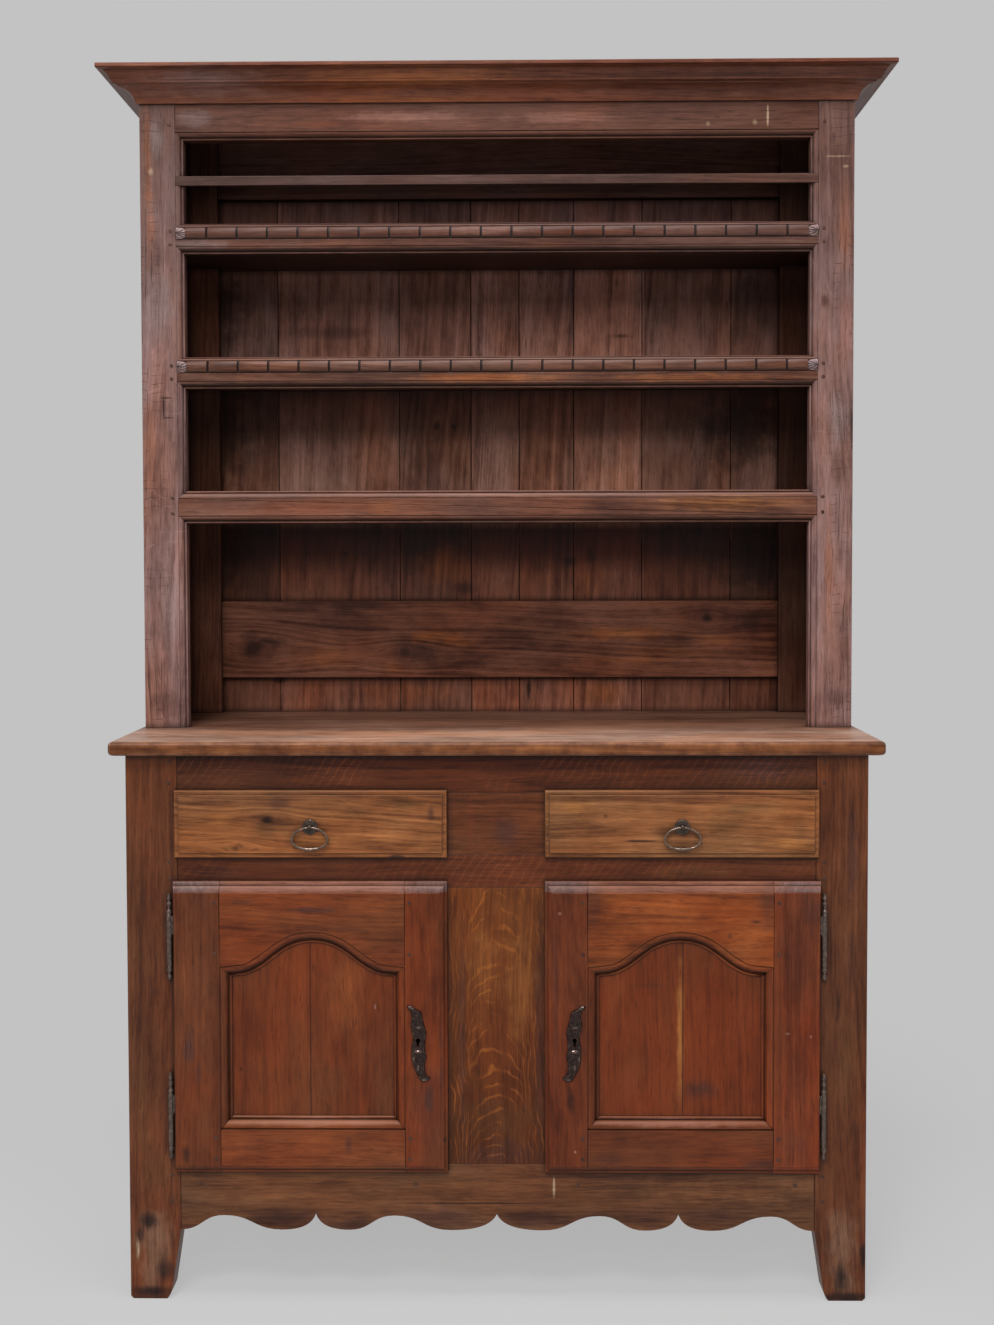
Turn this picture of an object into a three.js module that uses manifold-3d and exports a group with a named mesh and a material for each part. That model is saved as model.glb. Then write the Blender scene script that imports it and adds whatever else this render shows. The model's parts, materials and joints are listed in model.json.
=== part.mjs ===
import * as THREE from 'three';
import { mergeVertices } from 'three/addons/utils/BufferGeometryUtils.js';
import Module from 'manifold-3d';

const wasm = await Module();
wasm.setup();

// All sizes are in millimetres. X runs to the right, Y to the back and Z up.
// Y is zero on the front of the base, X on the centre line, Z on the floor.

// Whole dresser
const totalHeight = 2150;
const backY = 575;

// Fits and cutting
const jointGap = 0.3;
const mitreGap = 0.3;
const overrun = 1;
const weldDistance = 0.0001;
const curveFacets = 10;
const ovoloSteps = 4;
const nosingSteps = 3;

// Base frame
const baseWidth = 1262;
const worktopHeight = 965;
const worktopThickness = 24;
const worktopEndOverhang = 24.5;
const worktopOverhang = 24.5;
const nosingRadius = 7;
const worktopCorner = 3.5;
const postWidth = 87.5;
const postDepth = 45;
const frameThickness = 28;
const friezeHeight = 65;
const drawerOpeningHeight = 105.5;
const midRailHeight = 57;
const dividerWidth = 174;
const centreStileWidth = 180;

// Apron and legs
const lobeHeight = 121;
const scallopRise = 25;
const cuspRise = 28;
const apronDepth = 115;
const scallopShares = [0, 0.145, 0.324, 0.466, 0.572, 0.679, 0.863, 1];
const waveShares = { roundReach: 0.5, pointReach: 0.12, pointRise: 0.75 };
const legTaper = 20;
const legTaperShare = 0.8;
const footRounding = 16;
const footCurveHeight = 4;
const footChamfer = 5;

// Sides, back and floor of the base
const sideSetBack = 3;
const sideThickness = 28;
const sidePanelThickness = 14;
const sideTopRailHeight = 80;
const sideBottomRailHeight = 86;
const rearPostWidth = 60;
const rearPostDepth = 45;
const backThickness = 14;
const backSetIn = 8;
const floorThickness = 16;
const floorDrop = 6;
const housing = 8;
const boardGroove = 2;

// Mortise and tenon joints
const tenonThickness = 9;
const tenonSetBack = 10;
const tenonLength = 32;
const stubTenonLength = 16;
const tenonShoulder = 8;

// Drawer runners
const runnerThickness = 22;
const runnerReach = 26;
const guideHeight = 28;
const slideGap = 1;
const runnerGap = 0.5;

// Drawers
const drawerLip = 4;
const drawerProud = 12;
const drawerPlugDepth = 14;
const plugGap = 2;
const seatGap = 0.4;
const drawerBorder = 8;
const drawerBorderDrop = 2.5;
const drawerBorderStep = 0.8;
const drawerEdgeRound = 3;
const drawerEdgeBevel = 0.9;
const drawerRearGap = 53;
const drawerSideHeight = 90;
const drawerSideThickness = 12;
const drawerBottomThickness = 8;
const drawerBottomLift = 8;
const dovetailCount = 3;
const dovetailDepth = 10;
const dovetailWidth = 20;
const dovetailNeck = 14;

// Doors
const doorSideLip = 7;
const doorRailLip = 12;
const doorProud = 15;
const doorPlugDepth = 11;
const doorGap = 2.5;
const hingeStileWidth = 79.5;
const lockStileWidth = 72;
const doorBottomRailHeight = 77;
const doorMoulding = 21;
const doorMouldingDepth = 12;
const archRise = 58.5;
const archShoulderDrop = 164.5;
const archReachShare = 0.46;
const doorPanelThickness = 9;
const doorTopEdgeMoulding = 18;
const doorFreeEdgeMoulding = 12;
const doorBottomEdgeMoulding = 13;
const doorHingeEdgeMoulding = 2.5;
const doorEdgeMouldingDepth = 8.5;
const doorTenonLength = 45;
const doorTenonSetBack = 8;

// Door hinges
const hingeOffset = 6.5;
const barrelRadius = 4.5;
const pinRadius = 2.2;
const boreRadius = 2.6;
const hingeEndInset = 20;
const tangThickness = 2;
const tangDoorReach = 22;
const tangPostReach = 27;
const turnedSides = 16;
const hingeHeightShare = 0.303;
const hingeShares = { pin: 0.2, tang: 0.2, tangInset: 0.035, topFinial: 0.245, bottomFinial: 0.18 };

// Keyhole plates
const escutcheonThickness = 1.5;
const escutcheonHeight = 130;
const escutcheonWidth = 29;
const escutcheonInset = 50;
const escutcheonHeightShare = 0.45;
const keyholeRadius = 4;
const keySlotWidth = 4;
const keySlotLength = 11;
const keyholeHeightShare = 0.54;
const plateFacets = 52;

// Ring pulls
const ringWidth = 65;
const ringHeight = 43;
const ringWireRadius = 1.9;
const ringSwellRadius = 4;
const ringUpperShare = 0.56;
const ringSwellShare = 0.34;
const ringStandOff = 7.5;
const eyeRadius = 4.7;
const eyeHoleRadius = 2.5;
const eyeWidth = 6;
const rosetteRadius = 13;
const rosetteThickness = 2;
const rosetteRimShare = 0.6;
const rosetteFlatShare = 0.8;
const stemRadius = 3;
const pullDrop = 61;
const ringSteps = 28;
const wireSides = 8;

// Rack
const rackEndStep = 13;
const rackFrontY = 215;
const rackStileWidth = 64;
const rackMoulding = 14;
const rackMouldingDepth = 8;
const rackThickness = 28;
const rackSideThickness = 28;
const rackTopGap = 10;
const topRailHeight = 111;
const upperRailHeight = 55;
const middleRailHeight = 57.5;
const lowerRailHeight = 59;
const railTopShares = [0.86, 0.634, 0.406];
const shelfEdgeMoulding = 7;
const rackTenonLength = 28;
const shelfThickness = 20;
const shelfDrop = 10;
const beadHeight = 22;
const beadProud = 4;
const beadSunk = 1.5;
const beadEndInset = 4;
const beadNotchCount = 20;
const beadEndShare = 0.69;
const beadNotchWidth = 4.5;
const barHeight = 17;
const barThickness = 10;
const barTopShare = 0.567;
const barStub = 12;
const barStubInset = 3;
const rackPostWidth = 58;
const rackPostDepth = 30;
const rackBackThickness = 15;
const rackBackSetIn = 13;
const backRailThickness = 22;
const crossRailLift = 70;
const crossRailHeight = 153;
const backTopRailHeight = 120;
const roofThickness = 16;
const roofDrop = 16;
const backJointShares = [-0.71, -0.32, -0.09, 0.065, 0.24, 0.46, 0.745];

// Cornice
const corniceHeight = 57;
const corniceProjection = 64;

// Places worked out from the sizes above
const baseHalf = baseWidth / 2;
const openingHalf = baseHalf - postWidth;
const carcassTop = worktopHeight - worktopThickness;
const friezeBottom = carcassTop - friezeHeight;
const midRailTop = friezeBottom - drawerOpeningHeight;
const midRailBottom = midRailTop - midRailHeight;
const apronTop = lobeHeight + apronDepth;
const worktopHalf = baseHalf + worktopEndOverhang;
const sideOuter = baseHalf - sideSetBack;
const sideInner = sideOuter - sideThickness;
const sidePanelOuter = sideOuter - sidePanelThickness / 2;
const sidePanelInner = sidePanelOuter - sidePanelThickness;
const sideBottom = apronTop - sideBottomRailHeight;
const rearPostInner = baseHalf - rearPostWidth;
const rearPostFront = backY - rearPostDepth;
const baseBackRear = backY - backSetIn;
const baseBackFront = baseBackRear - backThickness;
const floorTop = apronTop - floorDrop;
const drawerLength = baseBackFront - drawerRearGap;
const dividerHalf = dividerWidth / 2;
const centreStileHalf = centreStileWidth / 2;
const drawerLow = midRailTop + runnerGap;
const drawerOuter = openingHalf - plugGap;
const drawerInner = dividerHalf + plugGap;
const doorOuter = openingHalf + doorSideLip;
const doorInner = centreStileHalf - doorSideLip;
const doorTop = midRailBottom + doorRailLip;
const doorBottom = apronTop - doorRailLip;
const doorFlatOuter = doorOuter - hingeStileWidth;
const doorFlatInner = doorInner + lockStileWidth;
const doorSightOuter = doorFlatOuter - doorMoulding;
const doorSightInner = doorFlatInner + doorMoulding;
const doorSightLow = doorBottom + doorBottomRailHeight + doorMoulding;
const doorSightShoulder = doorTop - archShoulderDrop;
const hingeLength = (doorTop - doorBottom) * hingeHeightShare;
const hingeX = doorOuter + hingeOffset;
const hingeY = -(doorProud + seatGap) / 2;
const ringY = -drawerProud - ringStandOff;
const ringTopZ = friezeBottom + drawerLip - pullDrop;
const pullX = (openingHalf + dividerHalf) / 2;
const rackHalf = baseHalf + rackEndStep;
const rackFlatHalf = rackHalf - rackStileWidth;
const rackSightHalf = rackFlatHalf - rackMoulding;
const rackRearY = rackFrontY + rackThickness;
const rackSideInner = rackHalf - rackSideThickness;
const rackTop = totalHeight - rackTopGap;
const rackTopSight = rackTop - topRailHeight;
const rackClearHeight = rackTopSight - worktopHeight;
const [upperRailTop, middleRailTop, lowerRailTop] = railTopShares.map((share) => (
  worktopHeight + rackClearHeight * share
));
const barTop = upperRailTop + (rackTopSight - upperRailTop) * barTopShare;
const crossRailBottom = worktopHeight + crossRailLift;
const rackBackRear = backY - rackBackSetIn;
const rackBackFront = rackBackRear - rackBackThickness;
const rackPostInner = rackSideInner - rackPostWidth;
const rackPostFront = rackBackFront - rackPostDepth;
const backRailFront = rackBackFront - backRailThickness;
const roofTop = rackTop - roofDrop;
const roofBottom = roofTop - roofThickness;
const depthCentre = (backY - worktopOverhang) / 2;

// Finishes: colour, roughness and metalness
const paint = (color, roughness, metalness = 0) => () => (
  new THREE.MeshStandardMaterial({ color, roughness, metalness })
);
const baseWood = paint(0x6b4a33, 0.5);
const drawerWood = paint(0x84573a, 0.48);
const doorWood = paint(0x67402c, 0.48);
const stileOak = paint(0x6e492f, 0.5);
const topWood = paint(0xa9784f, 0.42);
const rackWood = paint(0x725047, 0.5);
const shadeWood = paint(0x3a281f, 0.7);
const pineWood = paint(0x8a6a48, 0.75);
const darkIron = paint(0x3b342f, 0.45, 0.8);

const dresser = new THREE.Group();
dresser.position.set(0, -depthCentre, 0);

// A closed three.js geometry as a solid for joining and cutting
function solidFrom(geometry) {
  geometry.deleteAttribute('normal');
  geometry.deleteAttribute('uv');
  const merged = mergeVertices(geometry, weldDistance);
  const index = Array.from(merged.index.array);
  const vertProperties = new Float32Array(merged.attributes.position.array);
  const whole = [];
  for (let corner = 0; corner < index.length; corner += 3) {
    const [a, b, c] = index.slice(corner, corner + 3);
    if (a !== b && b !== c && c !== a) whole.push(a, b, c);
  }
  const triVerts = new Uint32Array(whole);
  return new wasm.Manifold(new wasm.Mesh({ numProp: 3, vertProperties, triVerts }));
}

// The solid's own triangles as a geometry, mirrored left to right on request
function geometryOf(solid, mirrored = false) {
  const mesh = solid.getMesh();
  const index = Array.from(mesh.triVerts);
  const count = mesh.vertProperties.length / mesh.numProp;
  const places = new Float32Array(3 * count);
  for (let vertex = 0; vertex < count; vertex += 1) {
    const [x, y, z] = mesh.vertProperties.slice(vertex * mesh.numProp, vertex * mesh.numProp + 3);
    places.set([mirrored ? -x : x, y, z], 3 * vertex);
  }
  const geometry = new THREE.BufferGeometry();
  geometry.setAttribute('position', new THREE.BufferAttribute(places, 3));
  geometry.setIndex(mirrored ? index.reverse() : index);
  geometry.computeVertexNormals();
  return geometry;
}

function addPiece(name, solid, finish) {
  const mesh = new THREE.Mesh(geometryOf(solid), finish());
  mesh.name = name;
  dresser.add(mesh);
}

// A right-hand piece and its mirror image on the left
function addPair(name, solid, finish) {
  addPiece(`${name}_right`, solid, finish);
  const mesh = new THREE.Mesh(geometryOf(solid, true), finish());
  mesh.name = `${name}_left`;
  dresser.add(mesh);
}

// A block from three ranges, each a pair of low and high
function block([x, y, z]) {
  const geometry = new THREE.BoxGeometry(x[1] - x[0], y[1] - y[0], z[1] - z[0]);
  geometry.translate((x[0] + x[1]) / 2, (y[0] + y[1]) / 2, (z[0] + z[1]) / 2);
  return solidFrom(geometry);
}

const mirroredRange = ([x, y, z]) => [[-x[1], -x[0]], y, z];
const widened = (ranges, gap = jointGap) => ranges.map(([low, high]) => [low - gap, high + gap]);
const join = (solids) => solids.reduce((whole, solid) => whole.add(solid));
const cut = (solid, tools) => tools.reduce((rest, tool) => rest.subtract(tool), solid);
const cutRanges = (solid, ranges) => cut(solid, ranges.map((range) => block(widened(range))));

// An outline drawn in X and Z, carried from one Y to another
function slab(shape, fromY, toY) {
  const depth = toY - fromY;
  const geometry = new THREE.ExtrudeGeometry(shape, {
    depth, bevelEnabled: false, curveSegments: curveFacets,
  });
  geometry.applyMatrix4(new THREE.Matrix4().set(1, 0, 0, 0, 0, 0, -1, toY, 0, 1, 0, 0, 0, 0, 0, 1));
  return solidFrom(geometry);
}

// A section drawn in Y and Z, carried from one X to another
function bar(shape, fromX, toX) {
  const geometry = new THREE.ExtrudeGeometry(shape, {
    depth: toX - fromX, bevelEnabled: false, curveSegments: curveFacets,
  });
  geometry.applyMatrix4(new THREE.Matrix4().set(0, 0, 1, fromX, 1, 0, 0, 0, 0, 1, 0, 0, 0, 0, 0, 1));
  return solidFrom(geometry);
}

// An outline drawn in X and Y, carried from one Z to another
function plate(shape, fromZ, toZ) {
  const geometry = new THREE.ExtrudeGeometry(shape, {
    depth: toZ - fromZ, bevelEnabled: false, curveSegments: curveFacets,
  });
  geometry.translate(0, 0, fromZ);
  return solidFrom(geometry);
}

const shapeOf = (points) => new THREE.Shape(points.map(([u, v]) => new THREE.Vector2(u, v)));

// A solid skinned over rings of equally many [x, y, z] corners; capAxes are the caps' two axes
function skinned(rings, capAxes) {
  const count = rings[0].length;
  const places = rings.flat(2);
  const outline = (ring) => ring.map((corner) => new THREE.Vector2(corner[capAxes[0]], corner[capAxes[1]]));
  const last = (rings.length - 1) * count;
  const index = [];
  for (let ring = 0; ring < rings.length - 1; ring += 1) {
    for (let corner = 0; corner < count; corner += 1) {
      const here = ring * count + corner;
      const next = ring * count + (corner + 1) % count;
      index.push(here, next, next + count, here, next + count, here + count);
    }
  }
  const turns = THREE.ShapeUtils.area(outline(rings[0])) > 0;
  for (const [a, b, c] of THREE.ShapeUtils.triangulateShape(outline(rings[0]), [])) {
    index.push(...(turns ? [a, c, b] : [a, b, c]));
  }
  for (const [a, b, c] of THREE.ShapeUtils.triangulateShape(outline(rings[rings.length - 1]), [])) {
    index.push(...(turns ? [last + a, last + b, last + c] : [last + a, last + c, last + b]));
  }
  return facetedSolid(places, index);
}

// A solid from flat lists of corner places and triangles, turned to face outwards
function facetedSolid(places, index) {
  const geometry = new THREE.BufferGeometry();
  geometry.setAttribute('position', new THREE.BufferAttribute(new Float32Array(places), 3));
  geometry.setIndex(signedVolume(places, index) < 0 ? [...index].reverse() : index);
  return solidFrom(geometry);
}

function signedVolume(places, index) {
  const corner = (vertex) => new THREE.Vector3().fromArray(places, 3 * vertex);
  let volume = 0;
  for (let first = 0; first < index.length; first += 3) {
    const [a, b, c] = [corner(index[first]), corner(index[first + 1]), corner(index[first + 2])];
    volume += a.dot(b.cross(c)) / 6;
  }
  return volume;
}

// Corners of a rectangle in X and Z, drawn in by a share of each side's own inset
function framedCorners([left, right], [low, high], insets, share) {
  return [
    [left + insets.left * share, low + insets.low * share],
    [right - insets.right * share, low + insets.low * share],
    [right - insets.right * share, high - insets.high * share],
    [left + insets.left * share, high - insets.high * share],
  ];
}

// Section of the stuck mouldings: shares of the width out from the opening, and of the depth
const outerFilletShares = [[1, 0.14], [0.93, 0.14], [0.93, 0.05]];
const ovoloShares = { out: 0.93, width: 0.6, low: 0.8, depth: 0.75 };
const innerBeadShares = [[0.33, 0.92], [0.25, 0.92], [0.25, 0.8], [0.17, 0.74], [0.07, 0.8], [0, 1]];

function mouldingShares() {
  const ovolo = [];
  for (let step = 1; step <= ovoloSteps; step += 1) {
    const turn = (step / ovoloSteps) * (Math.PI / 2);
    ovolo.push([
      ovoloShares.out - ovoloShares.width * Math.sin(turn),
      ovoloShares.low - ovoloShares.depth * Math.cos(turn),
    ]);
  }
  return [...outerFilletShares, ...ovolo, ...innerBeadShares];
}

// Section of the lipped edges of doors: shares of the width in from the edge, and of the depth
const lipShares = [[0, 1], [0.08, 0.84], [0.25, 0.76], [0.4, 0.82], [0.4, 0.62], [0.6, 0.3], [0.85, 0.15],
  [1, 0.12], [1, 0]];

// The air in front of a mitred moulding round a rectangular opening
function mouldedOpening(acrossX, acrossZ, widths, faceY, depth, throughY) {
  const outward = { left: -widths.left, right: -widths.right, low: -widths.low, high: -widths.high };
  const ring = (share, y) => framedCorners(acrossX, acrossZ, outward, share).map(([x, z]) => [x, y, z]);
  const rings = [ring(1, faceY - overrun)];
  for (const [out, down] of mouldingShares()) rings.push(ring(out, faceY + down * depth));
  rings.push(ring(0, throughY + overrun));
  return skinned(rings, [0, 2]);
}

// Base: front posts with shaped legs
function frontPost() {
  const leg = new THREE.Shape();
  leg.moveTo(openingHalf, carcassTop);
  leg.lineTo(openingHalf, lobeHeight);
  leg.lineTo(openingHalf + legTaper * legTaperShare, footRounding);
  leg.quadraticCurveTo(openingHalf + legTaper, footCurveHeight, openingHalf + legTaper + footChamfer, 0);
  leg.lineTo(baseHalf - footChamfer, 0);
  leg.lineTo(baseHalf, footChamfer);
  leg.lineTo(baseHalf, carcassTop);
  const tangs = [topHinge, bottomHinge].map(hingeTangRange);
  const sockets = [...frontRailTenons(), ...sideTenons(), ...tangs];
  return cutRanges(slab(leg, 0, postDepth), sockets);
}

// Tenons of the front rails, on the right-hand side
function frontRailTenons() {
  const across = [openingHalf, openingHalf + tenonLength];
  const through = [tenonSetBack, tenonSetBack + tenonThickness];
  return [
    [across, through, [friezeBottom + tenonShoulder, carcassTop - tenonShoulder]],
    [across, through, [midRailBottom + tenonShoulder, midRailTop - tenonShoulder]],
    [across, through, [sideBottom + tenonShoulder, apronTop - tenonShoulder]],
  ];
}

// Tenons and panel tongue of a base side, towards the front post
function sideTenons() {
  const across = [sideInner + tenonSetBack, sideInner + tenonSetBack + tenonThickness];
  const along = [postDepth - stubTenonLength, postDepth];
  return [
    [across, along, [carcassTop - sideTopRailHeight + tenonShoulder, carcassTop - tenonShoulder]],
    [across, along, [sideBottom + tenonShoulder, apronTop - tenonShoulder]],
    [[sidePanelInner, sidePanelOuter], [postDepth - housing, postDepth],
      [apronTop - overrun, carcassTop - sideTopRailHeight + overrun]],
  ];
}

function withEndTenons(solid, tenon) {
  return join([solid, block(tenon), block(mirroredRange(tenon))]);
}

function friezeRail() {
  const rail = block([[-openingHalf, openingHalf], [0, frameThickness], [friezeBottom, carcassTop]]);
  return cutRanges(withEndTenons(rail, frontRailTenons()[0]), [dividerTenons()[1]]);
}

function midRail() {
  const rail = block([[-openingHalf, openingHalf], [0, frameThickness], [midRailBottom, midRailTop]]);
  const sockets = [dividerTenons()[0], centreStileTenons()[1], runnerTenon()];
  return cutRanges(withEndTenons(rail, frontRailTenons()[1]), sockets);
}

// A pair of stub tenons below and above an upright of the front frame
function uprightTenons(halfWidth, low, high) {
  const across = [-halfWidth + tenonShoulder, halfWidth - tenonShoulder];
  const through = [tenonSetBack, tenonSetBack + tenonThickness];
  return [
    [across, through, [low - stubTenonLength, low]],
    [across, through, [high, high + stubTenonLength]],
  ];
}

const dividerTenons = () => uprightTenons(dividerHalf, midRailTop, friezeBottom);
const centreStileTenons = () => uprightTenons(centreStileHalf, apronTop, midRailBottom);

function drawerDivider() {
  const body = block([[-dividerHalf, dividerHalf], [0, frameThickness], [midRailTop, friezeBottom]]);
  return join([body, ...dividerTenons().map(block)]);
}

function centreStile() {
  const half = centreStileHalf;
  const body = block([[-half, half], [0, frameThickness], [apronTop, midRailBottom]]);
  return join([body, ...centreStileTenons().map(block)]);
}

// One wave of the apron's lower edge, round at both ends or pointed at one
function wave(shape, from, to, pointed = 'none') {
  const run = to[0] - from[0];
  const rise = to[1] - from[1];
  const { roundReach, pointReach, pointRise } = waveShares;
  const pull = (isPoint) => (isPoint ? [run * pointReach, rise * pointRise] : [run * roundReach, 0]);
  const [startX, startZ] = pull(pointed === 'start');
  const [endX, endZ] = pull(pointed === 'end');
  shape.bezierCurveTo(from[0] + startX, from[1] + startZ, to[0] - endX, to[1] - endZ, to[0], to[1]);
}

function apron() {
  const crest = lobeHeight + scallopRise;
  const cusp = lobeHeight + cuspRise;
  const rises = [cusp, lobeHeight, crest, lobeHeight, cusp, lobeHeight, crest, lobeHeight];
  const half = scallopShares.map((share, index) => [share * openingHalf, rises[index]]);
  const points = [...half.slice(1).map(([x, z]) => [-x, z]).reverse(), ...half];
  const pointedAt = (point) => point[1] === cusp;
  const shape = new THREE.Shape();
  shape.moveTo(openingHalf, apronTop);
  shape.lineTo(-openingHalf, apronTop);
  shape.lineTo(...points[0]);
  for (let index = 1; index < points.length; index += 1) {
    const [from, to] = [points[index - 1], points[index]];
    const pointed = pointedAt(from) ? 'start' : pointedAt(to) ? 'end' : 'none';
    wave(shape, from, to, pointed);
  }
  const body = withEndTenons(slab(shape, 0, frameThickness), frontRailTenons()[2]);
  return cutRanges(body, [centreStileTenons()[0], floorRange()]);
}

// Base: one side with its rails, fielded panel, rear post and drawer runner
function baseSide() {
  const along = [postDepth, rearPostFront + overrun];
  const rearPost = block([[rearPostInner, baseHalf], [rearPostFront, backY], [0, carcassTop]]);
  const topRail = block([[sideInner, sideOuter], along, [carcassTop - sideTopRailHeight, carcassTop]]);
  const bottomRail = block([[sideInner, sideOuter], along, [sideBottom, apronTop]]);
  const panelRange = [[sidePanelInner, sidePanelOuter], along,
    [apronTop - overrun, carcassTop - sideTopRailHeight + overrun]];
  const runnerLow = midRailTop - runnerThickness;
  const guideInner = drawerOuter + slideGap;
  const reach = openingHalf - runnerReach;
  const ledgeFront = block([[reach, openingHalf - jointGap], [frameThickness, postDepth + overrun],
    [runnerLow, midRailTop]]);
  const ledge = block([[reach, sidePanelInner + overrun], [postDepth, baseBackFront],
    [runnerLow, midRailTop]]);
  const guide = block([[guideInner, sidePanelInner + overrun], [postDepth, rearPostFront + overrun],
    [midRailTop - overrun, midRailTop + guideHeight]]);
  const whole = join([rearPost, topRail, bottomRail, block(panelRange), ledgeFront, ledge, guide,
    ...sideTenons().map(block)]);
  return cutRanges(whole, [baseBackRange(), floorRange()]);
}

function baseBackRange() {
  const half = rearPostInner + housing;
  return [[-half, half], [baseBackFront, baseBackRear], [sideBottom, carcassTop]];
}

function baseBack() {
  const half = rearPostInner + housing;
  const grooves = backJointShares.map((share) => share * half);
  return grooved(block(baseBackRange()), grooves, baseBackFront, [sideBottom, carcassTop]);
}

// Shallow V grooves where the boards of a back meet, on its front face
function grooved(solid, grooves, faceY, across) {
  const tools = grooves.map((x) => plate(shapeOf([[x - boardGroove / 2, faceY - overrun],
    [x + boardGroove / 2, faceY - overrun], [x + boardGroove / 2, faceY], [x, faceY + boardGroove],
    [x - boardGroove / 2, faceY]]), across[0] - overrun, across[1] + overrun));
  return cut(solid, tools);
}

function floorRange() {
  const half = sideInner + housing;
  return [[-half, half], [frameThickness - housing, baseBackFront], [floorTop - floorThickness, floorTop]];
}

function baseFloor() {
  const range = floorRange();
  const notch = (x, y) => [[x, y, [range[2][0] - overrun, range[2][1] + overrun]]];
  const beyond = sideInner + housing + overrun;
  const notches = [
    ...notch([openingHalf, beyond], [0, postDepth]),
    ...notch([rearPostInner, beyond], [rearPostFront, backY]),
  ];
  return cutRanges(block(range), [...notches, ...notches.map(mirroredRange)]);
}

function runnerTenon() {
  const half = dividerHalf - tenonShoulder;
  const low = midRailTop - runnerThickness + tenonThickness / 2;
  return [[-half, half], [frameThickness - tenonShoulder, frameThickness], [low, low + tenonThickness]];
}

function centreRunner() {
  const ledge = dividerHalf + runnerReach;
  const guide = drawerInner - slideGap;
  const along = [frameThickness, baseBackFront];
  const base = block([[-ledge, ledge], along, [midRailTop - runnerThickness, midRailTop]]);
  const rib = block([[-guide, guide], along, [midRailTop - overrun, midRailTop + guideHeight]]);
  return join([base, rib, block(runnerTenon())]);
}

// The worktop board, its front and ends rounded over
function worktop() {
  const half = worktopHalf;
  const ring = (inset, z) => [
    [-half + inset, -worktopOverhang + inset + worktopCorner, z],
    [-half + inset + worktopCorner, -worktopOverhang + inset, z],
    [half - inset - worktopCorner, -worktopOverhang + inset, z],
    [half - inset, -worktopOverhang + inset + worktopCorner, z],
    [half - inset, backY, z],
    [-half + inset, backY, z],
  ];
  const lower = [];
  const upper = [];
  for (let step = 0; step <= nosingSteps; step += 1) {
    const turn = (step / nosingSteps) * (Math.PI / 2);
    const inset = nosingRadius * (1 - Math.sin(turn));
    const rise = nosingRadius * (1 - Math.cos(turn));
    lower.push(ring(inset, carcassTop + rise));
    upper.unshift(ring(inset, worktopHeight - rise));
  }
  return skinned([...lower, ...upper], [0, 1]);
}

// Drawers
const drawerPlug = () => [[drawerInner, drawerOuter], [-seatGap - overrun, drawerPlugDepth],
  [drawerLow + slideGap, friezeBottom - plugGap]];

function drawerFront() {
  const across = [dividerHalf - drawerLip, openingHalf + drawerLip];
  const upright = [midRailTop - drawerLip - slideGap, friezeBottom + drawerLip + slideGap];
  const even = { left: 1, right: 1, low: 1, high: 1 };
  const ring = (inset, y) => framedCorners(across, upright, even, inset).map(([x, z]) => [x, y, z]);
  const borderY = -drawerProud + drawerBorderDrop;
  const lip = skinned([
    ring(0, -seatGap),
    ring(0, borderY + drawerEdgeRound),
    ring(drawerEdgeBevel, borderY + drawerEdgeBevel),
    ring(drawerEdgeRound, borderY),
    ring(drawerBorder, borderY),
    ring(drawerBorder, -drawerProud + drawerBorderStep),
    ring(drawerBorder + drawerBorderStep, -drawerProud),
  ], [0, 2]);
  const sockets = [drawerInner, drawerOuter - drawerSideThickness].map((x) => dovetails(x, jointGap));
  return cut(join([lip, block(drawerPlug())]), [...sockets, block(widened(drawerBottomRange()))]);
}

// The row of tails at the front end of a drawer side that starts at this X
function dovetails(x, gap) {
  const pitch = drawerSideHeight / dovetailCount;
  const front = drawerPlugDepth - dovetailDepth;
  const rear = drawerPlugDepth + overrun;
  const tails = [];
  for (let tail = 0; tail < dovetailCount; tail += 1) {
    const centre = drawerLow + pitch * (tail + 1 / 2);
    tails.push(bar(shapeOf([
      [front - gap, centre - dovetailWidth / 2 - gap], [rear, centre - dovetailNeck / 2 - gap],
      [rear, centre + dovetailNeck / 2 + gap], [front - gap, centre + dovetailWidth / 2 + gap],
    ]), x - gap, x + drawerSideThickness + gap));
  }
  return join(tails);
}

const drawerBottomRange = () => [
  [drawerInner + drawerSideThickness - overrun, drawerOuter - drawerSideThickness + overrun],
  [drawerPlugDepth - housing, drawerLength - overrun],
  [drawerLow + drawerBottomLift, drawerLow + drawerBottomLift + drawerBottomThickness],
];

function drawerBox() {
  const upright = [drawerLow, drawerLow + drawerSideHeight];
  const along = [drawerPlugDepth, drawerLength];
  const side = (x) => join([block([[x, x + drawerSideThickness], along, upright]), dovetails(x, 0)]);
  const rear = block([[drawerInner + overrun, drawerOuter - overrun],
    [drawerLength - drawerSideThickness, drawerLength],
    [drawerLow + drawerBottomLift, upright[1] - housing]]);
  const sides = [drawerInner, drawerOuter - drawerSideThickness].map(side);
  return join([...sides, rear, block(drawerBottomRange())]);
}

// Doors, drawn on the right-hand side. The sight line is the inner edge of the panel moulding.
function sightLine(offset = 0) {
  const crownX = (doorSightInner + doorSightOuter) / 2;
  const crownZ = doorSightShoulder + archRise;
  const reach = (crownX - doorSightInner) * archReachShare;
  const arch = new THREE.Path();
  arch.moveTo(doorSightOuter, doorSightShoulder);
  arch.bezierCurveTo(doorSightOuter - reach, doorSightShoulder, crownX + reach, crownZ, crownX, crownZ);
  arch.bezierCurveTo(crownX - reach, crownZ, doorSightInner + reach, doorSightShoulder,
    doorSightInner, doorSightShoulder);
  const foot = [doorSightInner, doorSightOuter].map((x) => new THREE.Vector2(x, doorSightLow));
  const points = [...foot, ...arch.getPoints(curveFacets)];
  return offset === 0 ? points : offsetOutline(points, offset);
}

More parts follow.
